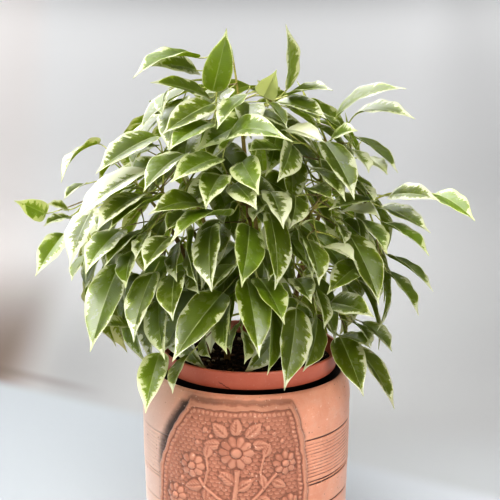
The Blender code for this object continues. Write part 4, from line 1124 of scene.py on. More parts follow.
def add_stem(mesh, name, draw):
    """Adds a main stem, thicker at its knots and slim at its end, and returns its end."""
    foot, start, control, end = stem_line(*STEMS[name])
    path = [foot.lerp(start, index / STEM_FOOT_STEPS) for index in range(STEM_FOOT_STEPS)]
    path += [bend(start, control, end, index / STEM_STEPS) for index in range(STEM_STEPS + 1)]
    radii = []
    for index in range(len(path)):
        share = max(index - STEM_FOOT_STEPS + 1, 0) / (len(path) - STEM_FOOT_STEPS)
        knot = 1 + STEM_KNOT * max(math.cos(index * 1.25 + draw.random()), 0) ** 3
        slim = 1 - 0.5 * max(share - STEM_SLIM_FROM, 0.0) / 0.4
        radii.append((STEM_RADII[0] + (STEM_RADII[1] - STEM_RADII[0]) * share) * knot * slim)
    young = [max(index / len(path) - 0.5, 0.0) * 2 for index in range(len(path))]
    add_tube(mesh, path, radii, STEM_SIDES, BARK, young, (draw.random(), 0.3 + 0.7 * draw.random()))
    return end_of(path, radii)


def add_twig(mesh, twig, draw):
    """Adds a twig through three points, and returns its end."""
    first, middle, last = twig
    control = middle * 2 - (first + last) / 2
    path, radii = [], []
    for index in range(TWIG_STEPS + 1):
        share = index / TWIG_STEPS
        path.append(bend(first, control, last, share))
        knot = 1 + TWIG_KNOT * (index % 3 == 1)
        radii.append((FINE_TWIG[0] + (FINE_TWIG[1] - FINE_TWIG[0]) * share) * knot)
    along = [float(index) for index in range(TWIG_STEPS + 1)]
    add_tube(mesh, path, radii, TWIG_SIDES, BARK, along, (draw.random(), 1.0))
    return end_of(path, radii)


def add_bud(mesh, point, along, radius, draw):
    """Adds a slender bud at a shoot's end."""
    length = draw.uniform(*BUD_LENGTHS) + BUD_SUNK
    path = [point - along * BUD_SUNK + along * length * share for share in BUD_SHARES]
    radii = [radius * swell for swell in BUD_SWELLS] + [BUD_POINT]
    add_tube(mesh, path, radii, BUD_SIDES, BUD, [0.0] * len(path), (draw.random(), draw.random()))


def foliage(growths, materials):
    """One fine piece for each leafy stem."""
    draw = random.Random(FOLIAGE_SEED)
    for growth in growths:
        mesh = Mesh()
        ends = [add_stem(mesh, growth.name, draw)]
        ends += [add_twig(mesh, twig, draw) for twig in growth.paths[1:]]
        for end in ends:
            add_bud(mesh, *end, draw)
        for leaf, root in growth.leaves:
            add_stalk(mesh, leaf, root, draw)
            add_blade(mesh, leaf, leaf_look(leaf, draw), draw)
        piece = mesh.made("fine_" + growth.name, materials, FOLIAGE_SHARP)
        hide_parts(growth.name)
        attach(piece, "root")


def leaf_look(leaf, draw):
    """How pale and how young a leaf is, from 0 to 1."""
    drawn = (draw.random() ** 1.6, draw.random() ** 4.0 * 0.6)
    x, y = picture_point(leaf.base)
    return LEAF_LOOKS.get((round(x), round(y)), drawn)


class Value:
    """A result in a material's graph. Reckoning with it adds one math node for each step."""

    def __init__(self, graph, socket):
        self.graph, self.socket = graph, socket

    def __add__(self, other):
        return self.graph.math("ADD", self, other)

    def __radd__(self, other):
        return self.graph.math("ADD", other, self)

    def __sub__(self, other):
        return self.graph.math("SUBTRACT", self, other)

    def __rsub__(self, other):
        return self.graph.math("SUBTRACT", other, self)

    def __mul__(self, other):
        return self.graph.math("MULTIPLY", self, other)

    def __pow__(self, other):
        return self.graph.math("POWER", self, other)

    def __abs__(self):
        return self.graph.math("ABSOLUTE", self)


class Graph:
    """A short way to write a material's nodes: each method adds one node and gives its result."""

    def __init__(self, name):
        self.material = bpy.data.materials.new(name)
        self.material.use_nodes = True
        self.nodes = self.material.node_tree.nodes
        self.links = self.material.node_tree.links
        self.nodes.clear()

    def put(self, socket, value):
        if isinstance(value, Value):
            self.links.new(value.socket, socket)
        elif isinstance(value, tuple) and socket.type == "RGBA":
            socket.default_value = (*value, 1.0)
        else:
            socket.default_value = value

    def node(self, kind, inputs, output=0, **settings):
        made = self.nodes.new(kind)
        for key, value in settings.items():
            setattr(made, key, value)
        for key, value in inputs.items():
            self.put(made.inputs[key], value)
        return Value(self, made.outputs[output])

    def math(self, operation, *values):
        return self.node("ShaderNodeMath", dict(enumerate(values)), operation=operation)

    def step(self, a, low, high, to_low=0.0, to_high=1.0):
        """From to_low where a is low to to_high where it is high, smoothly."""
        inputs = {0: a, 1: low, 2: high, 3: to_low, 4: to_high}
        return self.node("ShaderNodeMapRange", inputs, interpolation_type="SMOOTHSTEP")

    def fall(self, a, low, high):
        """From 1 where a is low to 0 where it is high, smoothly."""
        return self.step(a, low, high, 1.0, 0.0)

    def point(self, x, y, z=0.0):
        return self.node("ShaderNodeCombineXYZ", {0: x, 1: y, 2: z})

    def noise(self, where, scale, detail=2.0, roughness=0.5):
        inputs = {"Vector": where, "Scale": scale, "Detail": detail, "Roughness": roughness}
        return self.node("ShaderNodeTexNoise", inputs)

    def field(self, a, scale, seed, salt):
        """One random number for each field that a falls in, with as many fields to a unit as scale says."""
        where = self.point(self.math("FLOOR", a * scale), seed, salt)
        return self.node("ShaderNodeTexWhiteNoise", {"Vector": where}, noise_dimensions="3D")

    def mix(self, share, a, b, **settings):
        return self.node("ShaderNodeMix", {0: share, 6: a, 7: b}, 2, data_type="RGBA", **settings)

    def bump(self, height, distance, strength=1.0):
        return self.node("ShaderNodeBump", {"Height": height, "Distance": distance, "Strength": strength})

    def apart(self, vector):
        """A vector's three numbers."""
        made = self.nodes.new("ShaderNodeSeparateXYZ")
        self.put(made.inputs[0], vector)
        return [Value(self, output) for output in made.outputs]

    def place(self, map_name):
        """The two numbers that one of the mesh's maps carries for each point."""
        return self.apart(self.node("ShaderNodeUVMap", {}, uv_map=map_name))[:2]

    def there(self):
        """Where a point of the surface is, in the object's own metres."""
        return self.node("ShaderNodeTexCoord", {}, 3)

    def surface(self, colour, roughness, through=None, share=0.0, **settings):
        """The finished material; with a colour for light coming through, that has its share in it."""
        shader = self.nodes.new("ShaderNodeBsdfPrincipled")
        self.put(shader.inputs["Base Color"], colour)
        self.put(shader.inputs["Roughness"], roughness)
        for key, value in settings.items():
            self.put(shader.inputs[key.replace("_", " ")], value)
        out = self.nodes.new("ShaderNodeOutputMaterial")
        if through is None:
            self.links.new(shader.outputs[0], out.inputs[0])
            return self.material
        lit = self.node("ShaderNodeBsdfTranslucent", {"Color": through})
        both = self.node("ShaderNodeMixShader", {0: share, 1: Value(self, shader.outputs[0]), 2: lit})
        self.put(out.inputs[0], both)
        return self.material


def leaf_material(name, under):
    """The variegated blade: jagged cream edge that follows the side veins, green and grey-green inside."""
    g = Graph(name)
    along, across = g.place("place")
    edge, share = g.place("edge")
    first, second = g.place("pick")
    pale, young = g.place("look")
    along = along * PLACE_MILLIMETRES
    across = (across - 0.5) * PLACE_MILLIMETRES
    edge = edge * PLACE_MILLIMETRES
    out = abs(across)
    seed = first * 91.7 + g.math("SIGN", across) * 13.3
    here = g.point(along, across, seed)
    vein = along - out * 0.62 + (g.noise(here, 0.35, 2.0) - 0.5) * 1.6

    # how far the cream reaches in from the edge, in millimetres: one depth for each side vein's field
    coarse = g.field(vein, 0.45, seed, 1.0)
    fine = g.field(vein, 1.3, seed, 5.0)
    broad = g.noise(g.point(along * 0.065, seed, second), 1.0, 1.0)
    cover = g.step(broad + pale * 0.24, 0.49, 0.63)
    patches = coarse**1.3 * 4.2 + (fine * 1.4 + 0.3)
    reach = fine * 0.34 + 0.42 + cover * patches
    reach = reach + g.step(share, 0.78, 0.97) * (fine + 0.5) * 1.3
    reach = reach + g.step(pale, 0.80, 1.0) * 9.0
    cream = g.fall(edge - reach, -0.12, 0.12)

    # patches inside: mid green next to the cream, grey-green bars between some side veins
    halo = g.field(vein, 0.8, seed, 9.0) * 2.2 + 0.1
    halo = g.fall(edge - reach - halo, -0.3, 0.3)
    bars = g.point(g.math("FLOOR", vein * 0.7) * 0.21, out * 0.16, seed)
    patch = g.step(g.noise(bars, 1.0, 2.0, 0.6), 0.57, 0.60)
    green = g.mix(halo * 0.7, DARK_GREEN, MID_GREEN)
    green = g.mix(patch * 0.20, green, GREY_GREEN)
    green = g.mix(young * 0.85, green, YOUNG_GREEN)
    tone = g.noise(g.point(along * 0.1, across * 0.1, seed), 1.0)
    tone = g.step(tone, 0.3, 0.7, 0.74, 1.20) + (second - 0.5) * 0.34
    green = g.mix(1.0, green, g.point(tone, tone, tone), blend_type="MULTIPLY")

    # side veins and the midrib
    ridge = g.math("SINE", vein * 3.9)
    green = g.mix(g.step(ridge, 0.80, 1.0) * 0.13, green, RIB_GREEN)
    rib = g.fall(out - g.step(share, 0.0, 1.0, 0.50, 0.16), -0.18, 0.12)
    cream_colour = g.mix(young * 0.8, CREAM, YOUNG_CREAM)
    colour = g.mix(cream, green, cream_colour)
    colour = g.mix(rib * 0.7, colour, g.mix(0.35, RIB_GREEN, cream_colour))
    through = g.mix(cream, g.mix(patch * 0.4, THROUGH_GREEN, THROUGH_CREAM), THROUGH_CREAM)
    if under:
        colour = g.mix(0.42, colour, UNDERSIDE_GREEN)
    height = ridge * 0.28 + rib * (2.0 if under else -1.2) + g.noise(here, 3.0, 2.0) * 0.5
    rough = g.step(g.noise(here, 0.8, 2.0), 0.2, 0.8, 0.34, 0.48)
    return g.surface(
        colour,
        rough + (0.16 if under else 0.0),
        through,
        LEAF_THROUGH,
        Normal=g.bump(height, 0.00012),
        Specular_IOR_Level=0.5 if under else 1.0,
        Coat_Weight=0.0 if under else 1.0,
        Coat_Roughness=0.31,
        Coat_IOR=1.8,
    )


def stalk_material():
    """Leaf stalks: pale yellow-green at the blade, browner towards the twig."""
    g = Graph("leaf_stalk")
    from_blade, _ = g.place("edge")
    first, second = g.place("pick")
    wood = g.step(from_blade * PLACE_MILLIMETRES + second * 4.0, 12.0, 18.0)
    colour = g.mix(first * 0.7, (0.42, 0.46, 0.12), (0.66, 0.62, 0.30))
    colour = g.mix(wood, colour, (0.20, 0.15, 0.055))
    spots = g.noise(g.there(), 900.0, 2.0)
    colour = g.mix(g.step(spots, 0.5, 0.7) * 0.3, colour, (0.62, 0.60, 0.36))
    return g.surface(colour, 0.5, Normal=g.bump(spots, 0.0001))


def bark_material():
    """Thin smooth bark: grey-brown with green in it, pale dots and faint rings."""
    g = Graph("bark")
    along, _ = g.place("place")
    towards_end, _ = g.place("edge")
    first, green = g.place("pick")
    where = g.there()
    streaks = g.noise(where, 220.0, 4.0, 0.6)
    rings = g.noise(g.point(along * 260.0, first), 1.0, 2.0)
    colour = g.mix(g.step(streaks, 0.3, 0.7), (0.15, 0.085, 0.034), (0.36, 0.23, 0.10))
    colour = g.mix(green * 0.45, colour, (0.34, 0.19, 0.055))
    colour = g.mix(towards_end * 0.85, colour, (0.36, 0.38, 0.09))
    dots = g.step(g.noise(where, 1500.0, 1.0), 0.68, 0.72)
    colour = g.mix(dots * 0.6, colour, (0.45, 0.40, 0.28))
    return g.surface(colour, 0.62, Normal=g.bump(rings * 0.7 + streaks, 0.0004))


def bud_material():
    """The slender buds at the shoots' ends: fresh yellow-green with a pale point."""
    g = Graph("bud")
    along, _ = g.place("place")
    colour = g.mix(g.step(along * PLACE_MILLIMETRES, 2.0, 9.0), (0.24, 0.34, 0.07), (0.60, 0.62, 0.26))
    grain = g.noise(g.there(), 1200.0, 2.0)
    return g.surface(g.mix(grain * 0.3, colour, (0.40, 0.28, 0.12)), 0.4, Normal=g.bump(grain, 0.0001))


def towards(turn, side):
    return max(math.cos(turn - side), 0.0)


def pot_wall_radius(below):
    """The terracotta pot's outer radius at depths below its mouth, without grooves and relief."""
    near = np.clip(1.0 - below / POT_SHOULDER_BELOW, 0.0, 1.0) ** SHOULDER_ROUNDNESS
    far = np.clip((below - POT_SHOULDER_BELOW) / (POT_HEIGHT - POT_SHOULDER_BELOW), 0.0, 1.0) ** WALL_TAPER
    radius = POT_SHOULDER_RADIUS - (POT_SHOULDER_RADIUS - POT_LIP_RADIUS) * near
    return radius - (POT_SHOULDER_RADIUS - POT_FOOT_RADIUS) * far


def ramp(values, low, high):
    t = np.clip((values - low) / (high - low), 0.0, 1.0)
    return t * t * (3 - 2 * t)


def ellipse(x, y, centre, reach, turn=0.0):
    """Distance from an ellipse's middle: 0 there, 1 on its outline."""
    dx, dy = x - centre[0], y - centre[1]
    cos, sin = math.cos(turn), math.sin(turn)
    return np.hypot((dx * cos + dy * sin) / reach[0], (dy * cos - dx * sin) / reach[1])


def dome(distance, height):
    return height * np.sqrt(np.clip(1 - distance**2, 0.0, 1.0))


def stroke(x, y, line, width):
    """Distance to a line through points, in its half widths."""
    best = np.full(x.shape, 1e9)
    for (x0, y0), (x1, y1) in zip(line, line[1:]):
        span = (x1 - x0) ** 2 + (y1 - y0) ** 2
        share = np.clip(((x - x0) * (x1 - x0) + (y - y0) * (y1 - y0)) / span, 0.0, 1.0)
        best = np.minimum(best, np.hypot(x - x0 - share * (x1 - x0), y - y0 - share * (y1 - y0)))
    return best / width


def leaf_relief(x, y, base, turn, length, height):
    """A moulded leaf with a cut midrib and side veins."""
    cos, sin = math.cos(turn), math.sin(turn)
    u = ((x - base[0]) * cos + (y - base[1]) * sin) / length
    v = ((y - base[1]) * cos - (x - base[0]) * sin) / length
    half = 0.34 * np.sin(np.pi * np.clip(u, 0, 1)) ** 0.75 * (1.15 - 0.5 * np.clip(u, 0, 1))
    inside = np.clip(1 - np.abs(v) / np.maximum(half, 1e-4), 0.0, 1.0) * ((u > 0) & (u < 1))
    rise = height * np.sqrt(inside) * (0.75 + 0.25 * np.clip(u, 0, 1))
    rib = np.exp(-((v * length / 0.0007) ** 2))
    veins = np.exp(-(((((u - np.abs(v) * 0.9) * 6) % 1.0) - 0.5) / 0.16) ** 2)
    return rise - (inside > 0) * height * (0.45 * rib + 0.22 * veins * np.clip(inside * 2, 0, 1))


def rosette(x, y, centre, reach, petals, height):
    """A round flower: petals round a domed, dotted eye."""
    dx, dy = x - centre[0], y - centre[1]
    angle, away = np.arctan2(dy, dx), np.hypot(dx, dy) / reach
    lobe = 0.80 + 0.20 * np.abs(np.cos(angle * petals / 2))
    cleft = np.exp(-((np.cos(angle * petals / 2) / 0.22) ** 2))
    petal = dome(np.clip(away / lobe, 0, 1), height) * (1 - 0.45 * cleft * ramp(away, 0.25, 0.5))
    eye = dome(np.clip(away / 0.30, 0, 1), height * 0.9)
    ring = np.exp(-(((away - 0.33) / 0.035) ** 2)) * height * 0.5
    return np.where(away < lobe, petal, 0.0) - ring + eye


def scales(x, y):
    """A ground of overlapping round scales, each row half a scale aside from the last."""
    number = np.floor(y / SCALE_ROW)
    heights = []
    for back in (1, 0):
        down = y / SCALE_ROW - number + back
        across = ((x / SCALE_WIDE + 0.5 * ((number - back) % 2)) % 1.0) - 0.5
        heights.append((down, across))
    (above_down, above_across), (down, across) = heights
    over = above_down < 1 + 0.72 * np.sqrt(np.clip(1 - (above_across / 0.5) ** 2, 0, 1))
    rise = np.where(over, above_down, down) / 1.72
    seam = np.where(over, np.abs(above_across), np.abs(across)) > 0.44
    return SCALE_RISE * (rise - 0.55) - 0.25 * SCALE_RISE * seam


def plaque_relief(x, y):
    """The moulded design: a branch in bloom on a scaled ground, in metres from the plaque's face.

    x runs to the right along the wall from the pot's front, y down from its mouth.
    """
    design = np.zeros(x.shape)
    for line, half, height in BRANCHES:
        design = np.maximum(design, dome(np.clip(stroke(x, y, line, half), 0, 1), height))
    for base, turn, reach in RELIEF_LEAVES:
        design = np.maximum(design, leaf_relief(x, y, base, math.radians(turn), reach, LEAF_RISE))
    for centre, reach, petals in FLOWERS:
        inside = np.hypot(x - centre[0], y - centre[1]) < reach * 1.06
        design = np.where(inside, rosette(x, y, centre, reach, petals, FLOWER_RISE), design)
    for centre, reach in BUDS:
        bud = ellipse(x, y, centre, (reach, reach * 1.25))
        design = np.maximum(design, dome(np.clip(bud, 0, 1), BUD_RISE))
    return np.where(design > 0.00005, design + GROUND_DEPTH, scales(x, y))


def blurred(values, rows, columns):
    """A field smoothed by running means, each as many rows and columns wide, twice over."""
    for _ in range(2):
        for axis, wide in ((0, rows), (1, columns)):
            pad = [(0, 0), (0, 0)]
            pad[axis] = (wide, wide)
            sums = np.cumsum(np.pad(values, pad, mode="edge"), axis=axis)
            high = np.take(sums, range(2 * wide, sums.shape[axis]), axis=axis)
            low = np.take(sums, range(0, sums.shape[axis] - 2 * wide), axis=axis)
            values = (high - low) / (2 * wide)
    return values


def field_noise(x, y, z, size):
    """Soft noise between about -1 and 1 at grid points, with lumps of a given size."""
    flat = [noise.noise((a / size, b / size, c / size)) for a, b, c in zip(x.ravel(), y.ravel(), z.ravel())]
    return np.array(flat).reshape(x.shape)


def pot_wall_field(angles, below):
    """The outer wall's height over its plain form at each angle and depth, and where it lies hollow."""
    x = angles * WALL_ARC
    round_x, round_y = np.sin(angles) * WALL_ARC, -np.cos(angles) * WALL_ARC
    flat = np.zeros(x.shape)
    lumps = field_noise(round_x, round_y, below, LUMP_SIZE)
    grit = field_noise(round_x, round_y, below, GRIT_SIZE)
    wall = LUMP_RISE * lumps + GRIT_RISE * grit
    wall += WHEEL_RISE * field_noise(flat, lumps * 0.0015, below, WHEEL_SIZE)
    here = below + WANDER_RISE * field_noise(round_x, round_y, flat, WANDER_SIZE)
    for groove in SHARP_GROOVES:
        depth = GROOVE_DEPTH * (0.75 + 0.35 * field_noise(round_x, round_y, np.full(x.shape, groove), 0.02))
        wall -= depth * np.exp(-(((here - groove) / GROOVE_HALF) ** 2))
        wall += 0.00022 * np.exp(-(((here - groove + 0.0011) / 0.0007) ** 2))
    first, last = RIBS_BELOW_MOUTH
    in_ribs = ramp(here, first, first + 0.0012) * (1 - ramp(here, last - 0.0008, last))
    rib_wave = np.cos(2 * np.pi * (here - first) / RIB_PITCH)
    wall += in_ribs * (0.00046 * np.abs(rib_wave * 0.5 + 0.5) ** 0.7 - 0.00034)
    # the plaque, with an edge cut by hand
    along = np.clip((below - PLAQUE_TOP_BELOW) / (PLAQUE_FOOT_BELOW - PLAQUE_TOP_BELOW), 0, 1)
    left = np.radians(np.interp(along, *zip(*PLAQUE_LEFT)))
    right = np.radians(np.interp(along, *zip(*PLAQUE_RIGHT)))
    ragged = field_noise(x, below, flat, 0.0075) * 0.0011
    ragged += field_noise(x, below, np.ones(x.shape), 0.0024) * 0.00035
    from_sides = np.minimum((angles + left) * WALL_ARC * 0.88, (right - angles) * WALL_ARC * 0.97)
    from_top = below - PLAQUE_TOP_BELOW
    inside = np.minimum(from_sides, np.minimum(from_top, PLAQUE_FOOT_BELOW - below)) + ragged
    raised = ramp(inside, 0.0, EDGE_ROUND)
    band = ramp(inside, *FRAME_FROM) * (1 - ramp(inside, *FRAME_TO))
    round_frame = np.where(from_top < from_sides, x, below)
    beads = np.hypot(((round_frame / BEAD_PITCH) % 1.0 - 0.5) * BEAD_PITCH, inside - BEADS_IN) / BEAD_RADIUS
    beads = np.where(inside < BEADS_END, dome(np.clip(beads, 0, 1), BEAD_RISE), 0.0)
    grooves = sum(np.exp(-(((inside - groove) / FRAME_GROOVE_HALF) ** 2)) for groove in FRAME_GROOVES)
    design = plaque_relief(x + 0.0006 * lumps, below + 0.0005 * lumps) * ramp(inside, *DESIGN_FROM)
    face = FRAME_RISE * band + beads - FRAME_GROOVE_DEPTH * grooves + DESIGN_SHARE * design
    face -= 0.0004 * ramp(inside, DESIGN_FROM[0], 0.0100)
    plain = wall * (1 - raised) + (0.00022 * lumps + 0.00010 * grit) * raised
    return plain + raised * (PLAQUE_RISE - 0.0006 + face), raised, inside


def hollowness(height):
    """How hollow each point of the wall lies against those near it, and against those further round it."""
    near, broad = np.zeros(height.shape), np.zeros(height.shape)
    front, back = slice(0, CLAY_FRONT_COLUMNS + 1), slice(CLAY_FRONT_COLUMNS + 1, None)
    for part, columns in ((front, 3), (back, 1)):
        near[:, part] = np.clip((blurred(height[:, part], 3, columns) - height[:, part]) / NEAR_HOLLOW, -1, 1)
    broad[:, front] = np.clip((blurred(height[:, front], 11, 11) - height[:, front]) / BROAD_HOLLOW, 0, 1)
    return near, broad


def fine_outer_pot(clay):
    """The terracotta pot: a fine wall with its plaque, finest in front, and plain rows inside and below."""
    front = np.linspace(-CLAY_FRONT, CLAY_FRONT, CLAY_FRONT_COLUMNS + 1)
    back = np.linspace(CLAY_FRONT, 2 * math.pi - CLAY_FRONT, CLAY_BACK_COLUMNS + 1)[1:-1]
    angles = np.concatenate((front, back))
    depths = np.linspace(WALL_BELOW_MOUTH, POT_HEIGHT - WALL_ABOVE_FOOT, CLAY_ROWS)
    grid_angle, grid_below = np.meshgrid(np.where(angles > math.pi, angles - 2 * math.pi, angles), depths)
    height, raised, inside = pot_wall_field(grid_angle, grid_below)
    near, broad = hollowness(height)
    radius = pot_wall_radius(grid_below) + height
    # each row's radii and height, and its number in the fine wall
    rows = [(np.full(len(angles), reach), z, None) for reach, z in CLAY_INSIDE + CLAY_LIP]
    rows += [(radius[row], POT_HEIGHT - depths[row], row) for row in range(CLAY_ROWS)]
    rows += [(np.full(len(angles), reach), z, None) for reach, z in CLAY_FOOT]
    mesh = Mesh()
    for index, (radii, z, row) in enumerate(rows):
        below_mouth = clamped((POT_HEIGHT - z) / POT_SHOULDER_BELOW)
        near_mouth = clamped((z - POT_HEIGHT + LIP_RISE_DEPTH) / LIP_RISE_DEPTH) ** 2
        if row is None:
            lean = POT_LEAN if z < FOOT_BELOW else 0.0
        else:
            lean = POT_LEAN * below_mouth
        # the rows inside the pot carry painted shade: the material paints them near black and darkens them as
        # broad hollows
        dark = 1.0 if index < len(CLAY_INSIDE) else 0.0
        for column, turn in enumerate(angles):
            x, y = round_axis(radii[column], turn)
            mesh.points.append((x - lean, y, z + LIP_RISE * towards(turn, LIP_TOWARDS) * near_mouth))
            look = (0.0, 0.0, 0.5, dark, dark, 0.0)
            if row is not None:
                edge = clamped(inside[row, column] * EDGE_SCALE + 0.5)
                look = (edge, raised[row, column], near[row, column] * 0.5 + 0.5, broad[row, column], 0.0, 0.0)
            mesh.places.append((turn, z * PLACE_SCALE, *look))
    mesh.turn_solid(len(rows), len(angles))
    piece = mesh.made("fine_outer_pot", [clay], CLAY_SHARP)
    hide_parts("outer_pot")
    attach(piece, "root")


def clay_material():
    """Orange-pink terracotta: pale on what stands out from dust and a painted highlight, dark in grooves from
    smoke and painted shade, dark round the plaque from smoke, with painted glare on the wall's left side and
    painted shade inside.
    """
    g = Graph("terracotta")
    edge, raised = g.place("edge")
    hollow, broad = g.place("pick")
    where = g.there()
    x, _, z = g.apart(where)
    cloud = g.noise(where, 26.0, 3.0)
    mottle = g.noise(where, 140.0, 4.0, 0.6)
    grain = g.noise(where, 900.0, 3.0, 0.6)
    colour = g.mix(g.step(cloud, 0.3, 0.7), (0.64, 0.298, 0.198), (0.74, 0.375, 0.258))
    colour = g.mix(g.step(mottle, 0.42, 0.70) * 0.5, colour, (0.68, 0.390, 0.290))
    colour = g.mix(g.step(grain, 0.55, 0.75) * 0.25, colour, (0.46, 0.19, 0.11))
    stain = g.step(g.noise(where, 60.0, 4.0, 0.65), 0.38, 0.66)
    colour = g.mix(stain * raised * 0.55, colour, (0.36, 0.150, 0.098))
    colour = g.mix(raised * 0.80, colour, (0.345, 0.155, 0.103))
    # dust and a painted highlight: points standing proud of those near them are paler, most on the wall
    proud = g.step(hollow, 0.47, 0.20)
    colour = g.mix(proud * g.step(raised, 0.0, 1.0, 0.55, 0.40), colour, (0.68, 0.370, 0.255))
    # smoke and painted shade: the deepest points of grooves and recesses darken towards the pit colours, less
    # so at the plaque's edge
    deep = g.step(hollow + (mottle - 0.5) * 0.25, 0.54, 0.92)
    outside = (0.5 - edge) * (1000 / EDGE_SCALE)
    cut = g.step(raised, 0.0, 1.0, 0.95, 0.62) * g.step(abs(outside), 1.2, 3.2, 0.45, 1.0)
    colour = g.mix(deep * cut, colour, g.mix(raised, PIT, RELIEF_PIT))

    # the wall's left side painted paler and greyer as glare of the window light, then smoke: dark and wide
    # left of the plaque, thin and brown on its right
    wall = 1.0 - raised
    window_glare = g.step(x, -0.072, -0.035, 0.80, 0.0)
    colour = g.mix(window_glare * wall, colour, (0.59, 0.435, 0.365))
    leftward = g.fall(x, -0.034, -0.012)
    upper = g.step(z, POT_HEIGHT - 0.085, POT_HEIGHT - 0.025)
    wide = leftward * upper * 5.5 + (2.2 + (cloud - 0.5) * 3.0)
    smoke = g.fall(outside - (wide + (mottle - 0.5) * 2.5), -6.0, 1.2) * wall
    above = g.step(z, POT_HEIGHT - 0.0080, POT_HEIGHT - 0.0040, 1.0, 0.25)
    strength = 0.42 + leftward * g.step(upper, 0.0, 1.0, 0.05, 0.48)
    smoke_colour = g.mix(leftward, (0.110, 0.066, 0.052), (0.045, 0.034, 0.032))
    colour = g.mix(smoke * above * strength, colour, smoke_colour)
    # painted shade in broad hollows, stronger on the plaque than on the wall
    broad_hollow_shade = g.step(broad + (cloud - 0.5) * 0.4, 0.15, 0.95)
    colour = g.mix(broad_hollow_shade * g.step(raised, 0.0, 1.0, 0.10, 0.40), colour, (0.16, 0.085, 0.060))

    # the inside painted near black as shade, then spots and dust
    inner, _ = g.place("look")
    colour = g.mix(inner * 0.92, colour, (0.035, 0.018, 0.012))
    spots = g.step(g.noise(where, 330.0, 1.0), 0.72, 0.76)
    colour = g.mix(spots * 0.5, colour, (0.16, 0.07, 0.045))
    dust = g.step(g.noise(where, 520.0, 2.0), 0.66, 0.74)
    colour = g.mix(dust * 0.4, colour, (0.85, 0.66, 0.54))
    return g.surface(
        colour,
        g.step(mottle, 0.3, 0.7, 0.72, 0.9),
        Normal=g.bump(grain * 0.5 + mottle, 0.00022, 0.8),
        Specular_IOR_Level=0.3,
        Sheen_Weight=0.45,
        Sheen_Roughness=0.45,
    )


def nursery_profile():
    """Radius and height of the plastic pot's rows: up its inside, over its rim, down its band and wall."""
    foot = POT_FLOOR + SEAT_GAP
    floor = foot + NURSERY_WALL
    band_foot = RIM_TOP - RIM_BAND
    inner = RIM_RADIUS - RIM_WALL
    band_end = RIM_RADIUS - RIM_TAPER
    wall_inner, foot_inner = NURSERY_WALL_RADIUS - NURSERY_WALL, NURSERY_FOOT_RADIUS - NURSERY_WALL
    profile = [(0.002, floor), (0.030, floor), (foot_inner - 0.001, floor), (foot_inner, floor + 0.001)]
    profile += [(wall_inner - 0.0001, band_foot - 0.0005), (inner - RIM_TAPER, band_foot + RIM_STEP)]
    profile += [(inner - RIM_TAPER * 0.4, RIM_TOP - 0.006), (inner, RIM_TOP - 0.0022)]
    for step in range(9):
        turn = math.pi * step / 8
        radius = inner + RIM_ROUND - RIM_ROUND * math.cos(turn)
        profile.append((radius, RIM_TOP - 0.0012 + RIM_ROUND * math.sin(turn)))
    band = RIM_BAND - 0.0026
    for step in range(9):
        profile.append((RIM_RADIUS - 0.00005 - RIM_TAPER * step / 8, RIM_TOP - 0.0020 - band * step / 8))
    profile += [(band_end - 0.0002, band_foot + 0.0002), (band_end - 0.0006, band_foot)]
    profile += [(NURSERY_WALL_RADIUS + 0.0003, band_foot + 0.0002), (NURSERY_WALL_RADIUS, band_foot - 0.0006)]
    for step in range(1, 9):
        share = step / 8
        radius = NURSERY_WALL_RADIUS + (NURSERY_FOOT_RADIUS - NURSERY_WALL_RADIUS) * share
        profile.append((radius, band_foot + (foot + 0.0015 - band_foot) * share))
    profile += [(NURSERY_FOOT_RADIUS - 0.0006, foot + 0.0004), (NURSERY_FOOT_RADIUS - 0.0016, foot)]
    return profile + [(0.002, foot)]


def fine_nursery_pot(plastic):
    """The plastic pot: rounded rim, a deep band that stands out, and a thin tapering wall."""
    band_foot = RIM_TOP - RIM_BAND
    profile = nursery_profile()
    mesh = Mesh()
    for radius, height in profile:
        for column in range(NURSERY_COLUMNS):
            turn = 2 * math.pi * column / NURSERY_COLUMNS
            spot = Vector((math.sin(turn), -math.cos(turn), height * 6))
            warp = BAND_WARP * noise.noise(spot * 1.6) if height > band_foot else 0.0
            if height > band_foot - 0.0002:
                warp += BAND_BULGE * towards(turn, BULGE_TOWARDS)
            mesh.points.append((*round_axis(radius + warp, turn), height))
            mesh.places.append((turn, (height - band_foot) * PLACE_SCALE + 0.5, *[0.0] * 6))
    mesh.turn_solid(len(profile), NURSERY_COLUMNS)
    piece = mesh.made("fine_nursery_pot", [plastic], PLASTIC_SHARP)
    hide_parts("nursery_pot")
    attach(piece, "root")


